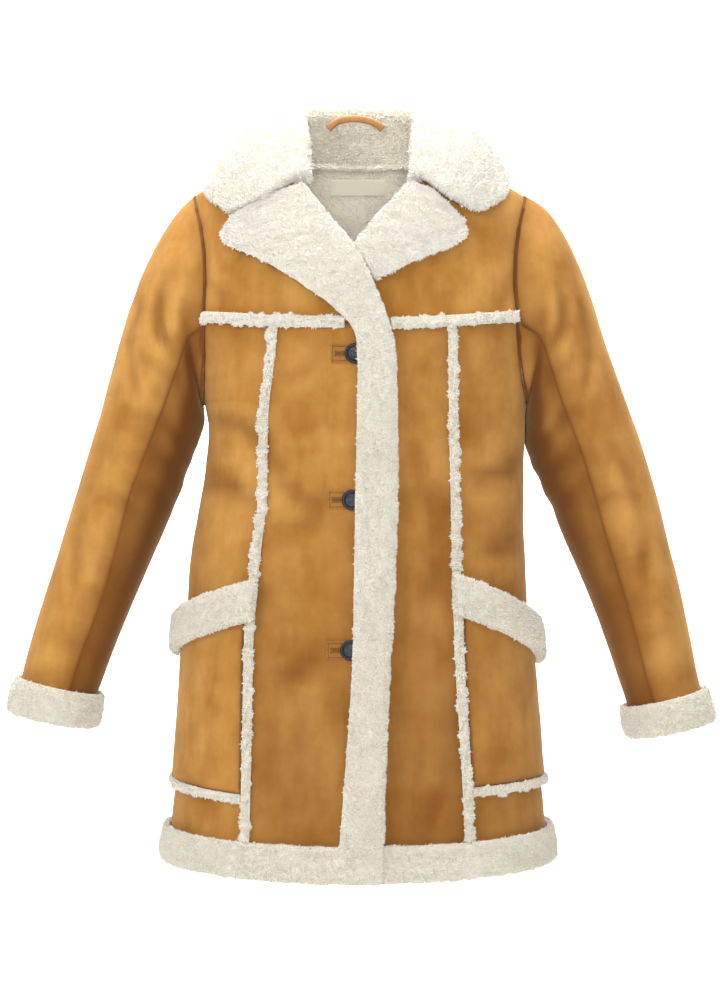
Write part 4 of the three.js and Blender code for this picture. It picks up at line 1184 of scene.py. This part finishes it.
def sweep(bm, route, radius, sides):
    # A closed round bar along a route.
    rings = []
    for i, p in enumerate(route):
        ahead = route[min(i + 1, len(route) - 1)] - route[max(i - 1, 0)]
        ahead.normalize()
        first = ahead.cross(Vector((0, 0, 1))).normalized()
        second = ahead.cross(first)
        size = radius * (0.5 if i in (0, len(route) - 1) else 1.0)
        angles = [2 * math.pi * k / sides for k in range(sides)]
        rings.append([bm.verts.new(p + (first * math.cos(a) + second * math.sin(a)) * size) for a in angles])
    made = []
    for low, high in zip(rings, rings[1:]):
        for k in range(sides):
            j = (k + 1) % sides
            made.append(bm.faces.new((low[k], low[j], high[j], high[k])))
    made.append(bm.faces.new(rings[0][::-1]))
    made.append(bm.faces.new(rings[-1]))
    bmesh.ops.recalc_face_normals(bm, faces=made)


# A patch with a border of stitches, stitches round the slit, and two lips of suede in the slit, the lips
# darkened as painted shade in the slit
buttonholeShape = {
    "border": 2.2 * mm, "lift": 0.25 * mm, "slitInset": 3 * mm, "slitRoom": 2.55 * mm, "steps": 14,
    "lip": 0.85 * mm, "lipOffset": 1.0 * mm, "lipLift": 0.1 * mm, "patchWorn": 0.30, "lipWorn": 0.75,
}


def makeButtonhole(node):
    shape = buttonholeShape
    patch = trimPiece(node, camel(node) + "Patch", "suede")
    store(patch.data, "worn", np.full(len(patch.data.vertices), shape["patchWorn"]))
    bpy.context.view_layer.update()
    tree = BVHTree.FromObject(patch, bpy.context.evaluated_depsgraph_get())
    low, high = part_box(node)
    border = shape["border"]
    left, right, bottom, top = low.x + border, high.x - border, low.z + border, high.z - border
    middle = (low.z + high.z) / 2
    slitStart = left + shape["slitInset"]
    above, below = middle + shape["slitRoom"], middle - shape["slitRoom"]

    def line(x0, z0, x1, z1, steps=shape["steps"], lift=shape["lift"]):
        shares = [i / steps for i in range(steps + 1)]
        found = [laid(tree, x0 + (x1 - x0) * s, z0 + (z1 - z0) * s, lift) for s in shares]
        return [p for p in found if p is not None]

    rows = [line(left, top, right, top), line(left, bottom, right, bottom), line(left, bottom, left, top)]
    rows += [line(slitStart, above, right, above), line(slitStart, below, right, below)]
    rows.append(line(slitStart, below, slitStart, above, 4))
    sewn = sewRows(camel(node) + "Stitches", rows)
    lips = bmesh.new()
    for sign in (-1, 1):
        level = middle + sign * shape["lipOffset"]
        sweep(lips, line(slitStart, level, right, level, 12, shape["lipLift"]), shape["lip"], 8)
    lip = newPiece(camel(node) + "Lips", lips, finishes["suede"])
    shadeSmooth(lip)
    # Painted shade of the slit
    store(lip.data, "worn", np.full(len(lip.data.vertices), shape["lipWorn"]))
    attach(lip, "root")
    return [patch, sewn, lip]


buttonholes = [makeButtonhole(f"buttonhole_{number}") for number in buttonNumbers]
trimPiece("hanger_loop", "hangerLoop", "leather")
trimPiece("neck_label", "neckLabel", "cloth")
print("trim made")


tapeShape = {"radius": 2.4 * mm, "sides": 10, "nearBody": 3 * mm, "step": math.radians(15)}


def makeArmholeShadeTape(side):
    # A tape in the armhole seam, which closes the joint between sleeve and body; it is painted fully dark,
    # as the shade inside the joint.
    near = []
    for name in sleevePanels:
        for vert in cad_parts[f"{name}_{side}"].data.vertices:
            if bodyTree.find_nearest(vert.co)[3] < tapeShape["nearBody"]:
                near.append(vert.co.copy())
    centre = sum(near, Vector()) / len(near)
    around = {}
    for p in near:
        turn = math.atan2(p.z - centre.z, p.y - centre.y)
        around.setdefault(int(turn // tapeShape["step"]), []).append(p)
    route = [sum(group, Vector()) / len(group) for _, group in sorted(around.items())]
    bm = bmesh.new()
    sweep(bm, route + route[:2], tapeShape["radius"], tapeShape["sides"])
    tape = newPiece(f"armholeTape{side.capitalize()}", bm, finishes["suede"])
    # Painted shade: the tape's suede is fully dark
    store(tape.data, "seam", np.ones(len(tape.data.vertices)))
    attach(tape, "root")
    return tape


armholeShadeTapes = {side: makeArmholeShadeTape(side) for side in ("right", "left")}


# The wool that shows inside the neck

liningLook = {"from": -0.19, "to": 0.1, "covered": 5 * mm, "spacing": 1.6, "length": 1.1, "width": 1.6}


def liningPile(node, seed):
    # Locks on the lining, where it looks inwards and nothing covers it.
    look = liningLook
    base = linings[node]
    mesh = base.data
    points, away = coordinates(mesh), normals(mesh)
    inward = np.array([Vector(n).dot(Vector((p[0], p[1], 0)).normalized()) for p, n in zip(points, away)])
    level = (points[:, 2] > look["from"]) & (points[:, 2] < look["to"])
    store(mesh, "grow", (level & (inward < -0.2)) * openShare(mesh, node, look["covered"]))
    return growPile(base, camel(node) + "Pile", seed, look["spacing"], look["length"], look["width"])


linedNeck = ("back_right", "back_left", "yoke_front_right", "yoke_front_left")
liningPiles = {node: liningPile(node, 80 + i) for i, node in enumerate(linedNeck)}
print("lining pile made")


neckRollShape = {
    "radius": 3.0 * mm, "sides": 10, "level": -3.4 * mm, "drop": 2.2 * mm, "inside": 0.6 * mm,
    "steps": 17, "turn": math.radians(4.4), "lump": 7 * mm, "lumpDepth": 1.6 * mm, "seed": 91,
}


def makeNeckRoll():
    # The roll of wool over the seam between the collar and the back, inside the neck.
    shape = neckRollShape
    collar = BVHTree.FromBMesh(merged("collar"))
    bm = bmesh.new()
    route = []
    for k in range(-shape["steps"], shape["steps"] + 1):
        turn = shape["turn"] * k
        ray = Vector((math.sin(turn), math.cos(turn), 0))
        hit = collar.ray_cast(Vector((0, 0, shape["level"])), ray)
        if hit[0] is not None:
            route.append(hit[0] - ray * shape["inside"] - Vector((0, 0, shape["drop"])))
    sweep(bm, route, shape["radius"], shape["sides"])
    roll = newPiece("neckRoll", bm, finishes["wool"])
    smoothed(roll, 1)
    points = coordinates(roll.data)
    lumps = gently(points, shape["lump"], shape["seed"])
    points += normals(roll.data) * (lumps * shape["lumpDepth"])[:, None]
    roll.data.vertices.foreach_set("co", points.astype(np.float32).ravel())
    store(roll.data, "grow", np.ones(len(points)))
    # Painted shade between the lumps: the lower points take more of the roots' colour
    store(roll.data, "reach", np.clip(0.3 + 0.3 * lumps, 0, 1))
    locks = growPile(roll, "neckRollPile", shape["seed"], 1.1, 0.9, 1.1)
    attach(roll, "root")
    return [roll, locks]


neckRoll = makeNeckRoll()


# Each cut piece before it was sewn, in metres and square metres
cuts = {
    "yoke_front": {"width": 0.24, "length": 0.21, "right": 0.0357, "left": 0.0382},
    "centre_front": {"width": 0.18, "length": 0.61, "right": 0.0889, "left": 0.0959},
    "side_front": {"width": 0.175, "length": 0.62, "right": 0.0878, "left": 0.0914},
    "back": {"width": 0.29, "length": 0.80, "right": 0.1939, "left": 0.1939},
    "sleeve_upper": {"width": 0.25, "length": 0.63, "right": 0.1232, "left": 0.1295},
    "sleeve_under": {"width": 0.175, "length": 0.49, "right": 0.0601, "left": 0.0635},
    "pocket": {"width": 0.15, "length": 0.25, "right": 0.0319, "left": 0.0322},
    "collar": {"width": 0.17, "length": 0.62, "whole": 0.0990},
    "lapel_and_band": {"width": 0.13, "length": 0.80, "right": 0.0503},
    "lapel": {"width": 0.12, "length": 0.14, "left": 0.0106},
    "hem_band_front": {"width": 0.056, "length": 0.34, "right": 0.0179, "left": 0.0152},
    "hem_band_back": {"width": 0.056, "length": 0.58, "whole": 0.0301},
    "cuff": {"width": 0.056, "length": 0.30, "right": 0.0155, "left": 0.0147},
    "pocket_cuff": {"width": 0.05, "length": 0.215, "right": 0.0096, "left": 0.0100},
    "pocket_strip": {"width": 0.018, "length": 0.15, "right": 0.0024, "left": 0.0025},
    "seam_strip_upper": {"width": 0.0165, "length": 0.28, "right": 0.0044, "left": 0.0044},
    "seam_strip_lower": {"width": 0.0165, "length": 0.25, "right": 0.0039, "left": 0.0040},
    "yoke_strip": {"width": 0.0185, "length": 0.19, "right": 0.0034, "left": 0.0030},
}


def declareSheets():
    # Each cut piece of shearling, gathered with what is on it; its area is held against its flat size, and a
    # piece more than 7% off is printed.
    pieces = {node: (piece, [linings[node]]) for node, piece in panels.items()}
    pieces.update({f"pocket_{side}": (piece, []) for side, piece in pockets.items()})
    pieces.update({node: (base, [locks]) for node, (base, locks) in bands.items()})
    for node, locks in liningPiles.items():
        pieces[node][1].append(locks)
    for side, tape in armholeShadeTapes.items():
        pieces[f"sleeve_upper_{side}"][1].append(tape)
    pieces["collar"][1].extend(neckRoll)
    pieces["centre_front_right"][1].extend(p for group in buttonholes for p in group)
    for node, (piece, others) in pieces.items():
        name, _, side = node.rpartition("_")
        cut = cuts.get(node) or cuts[name]
        area = cut.get(side) or cut["whole"]
        share = sum(p.area for p in piece.data.polygons) / 2 / area
        if not 0.93 < share < 1.07:
            print("cut size to correct:", node, round(share, 3))


declareSheets()


# A pale paper floor that bends up into a wall behind the coat
paper = {"half": 5.5, "front": -6.0, "back": 5.6, "floor": -1.36, "rise": 3.5, "bend": 1.2}


def makeStage():
    floor, bend, wallFoot = paper["floor"], paper["bend"], paper["back"] - paper["bend"]
    turns = [math.radians(k) for k in range(9, 91, 9)]
    profile = [(paper["front"], floor), (wallFoot, floor)]
    profile += [(wallFoot + bend * math.sin(a), floor + bend - bend * math.cos(a)) for a in turns]
    profile.append((paper["back"], floor + paper["rise"]))
    bm = bmesh.new()
    rows = [[bm.verts.new((x, y, z)) for y, z in profile] for x in (-paper["half"], paper["half"])]
    for i in range(len(profile) - 1):
        bm.faces.new((rows[0][i], rows[1][i], rows[1][i + 1], rows[0][i + 1]))
    sheet = newPiece("paperSweep", bm, makePaper())
    shadeSmooth(sheet)


roomLight = 0.3
lamps = {
    "keyLamp": {"place": (-1.9, -1.9, 1.0), "target": (0, 0, -0.35), "size": 0.9, "power": 33},
    "fillLamp": {"place": (1.9, -2.0, 0.2), "target": (0, 0, -0.45), "size": 1.4, "power": 6},
    "frontLamp": {"place": (0, -2.7, -0.3), "target": (0, 0, -0.3), "size": 0.8, "power": 38},
    "topLamp": {"place": (0.2, 0.2, 1.9), "target": (0, 0, -0.3), "size": 1.2, "power": 9},
    "neckLamp": {"place": (0.1, -1.5, 0.55), "target": (0, 0.05, 0.0), "size": 0.3, "power": 3.5},
    "backLamp": {"place": (1.4, 2.6, 1.3), "target": (0, 0, -0.35), "size": 1.2, "power": 22},
    "overLamp": {"place": (0, 0.6, 1.8), "target": (0, 2.6, -0.4), "size": 2.5, "power": 170},
    "wallLamp": {"place": (0, 3.3, 2.0), "target": (0, 5.6, -0.4), "size": 3.2, "power": 300},
}


def addLamp(name, row):
    light = bpy.data.lights.new(name, "AREA")
    light.shape = "SQUARE"
    light.size = row["size"]
    light.energy = row["power"]
    lamp = bpy.data.objects.new(name, light)
    bpy.context.scene.collection.objects.link(lamp)
    lamp.location = row["place"]
    towards = Vector(row["target"]) - Vector(row["place"])
    lamp.rotation_euler = towards.to_track_quat("-Z", "Y").to_euler()


def makeLight():
    world = bpy.data.worlds.new("softRoom")
    world.use_nodes = True
    background = world.node_tree.nodes["Background"]
    background.inputs[0].default_value = (1, 1, 1, 1)
    background.inputs[1].default_value = roomLight
    bpy.context.scene.world = world
    bpy.context.scene.view_settings.view_transform = "Standard"
    for name, row in lamps.items():
        addLamp(name, row)


# The photograph's camera looks level at the coat. One of its pixels covers this much at the neck.
camera = {"distance": 2.5, "height": -0.395, "metresPerPixel": 0.00115, "frameHeight": 1000, "sensor": 36}


def makeCamera():
    data = bpy.data.cameras.new("photoCamera")
    data.sensor_width = camera["sensor"]
    data.lens = camera["sensor"] * camera["distance"] / (camera["metresPerPixel"] * camera["frameHeight"])
    view = bpy.data.objects.new("photoCamera", data)
    bpy.context.scene.collection.objects.link(view)
    view.location = (0, -camera["distance"], camera["height"])
    view.rotation_euler = (math.radians(90), 0, 0)
    bpy.context.scene.camera = view


makeStage()
makeLight()
makeCamera()
print("stage, light and camera made")
shown = [o for o in bpy.data.objects if o.type == "MESH" and not o.hide_render]
triangles = {o.name: len(o.data.loops) - 2 * len(o.data.polygons) for o in shown}
largest = max(triangles, key=triangles.get)
print("triangles in all:", sum(triangles.values()), "most in one piece:", triangles[largest], largest)
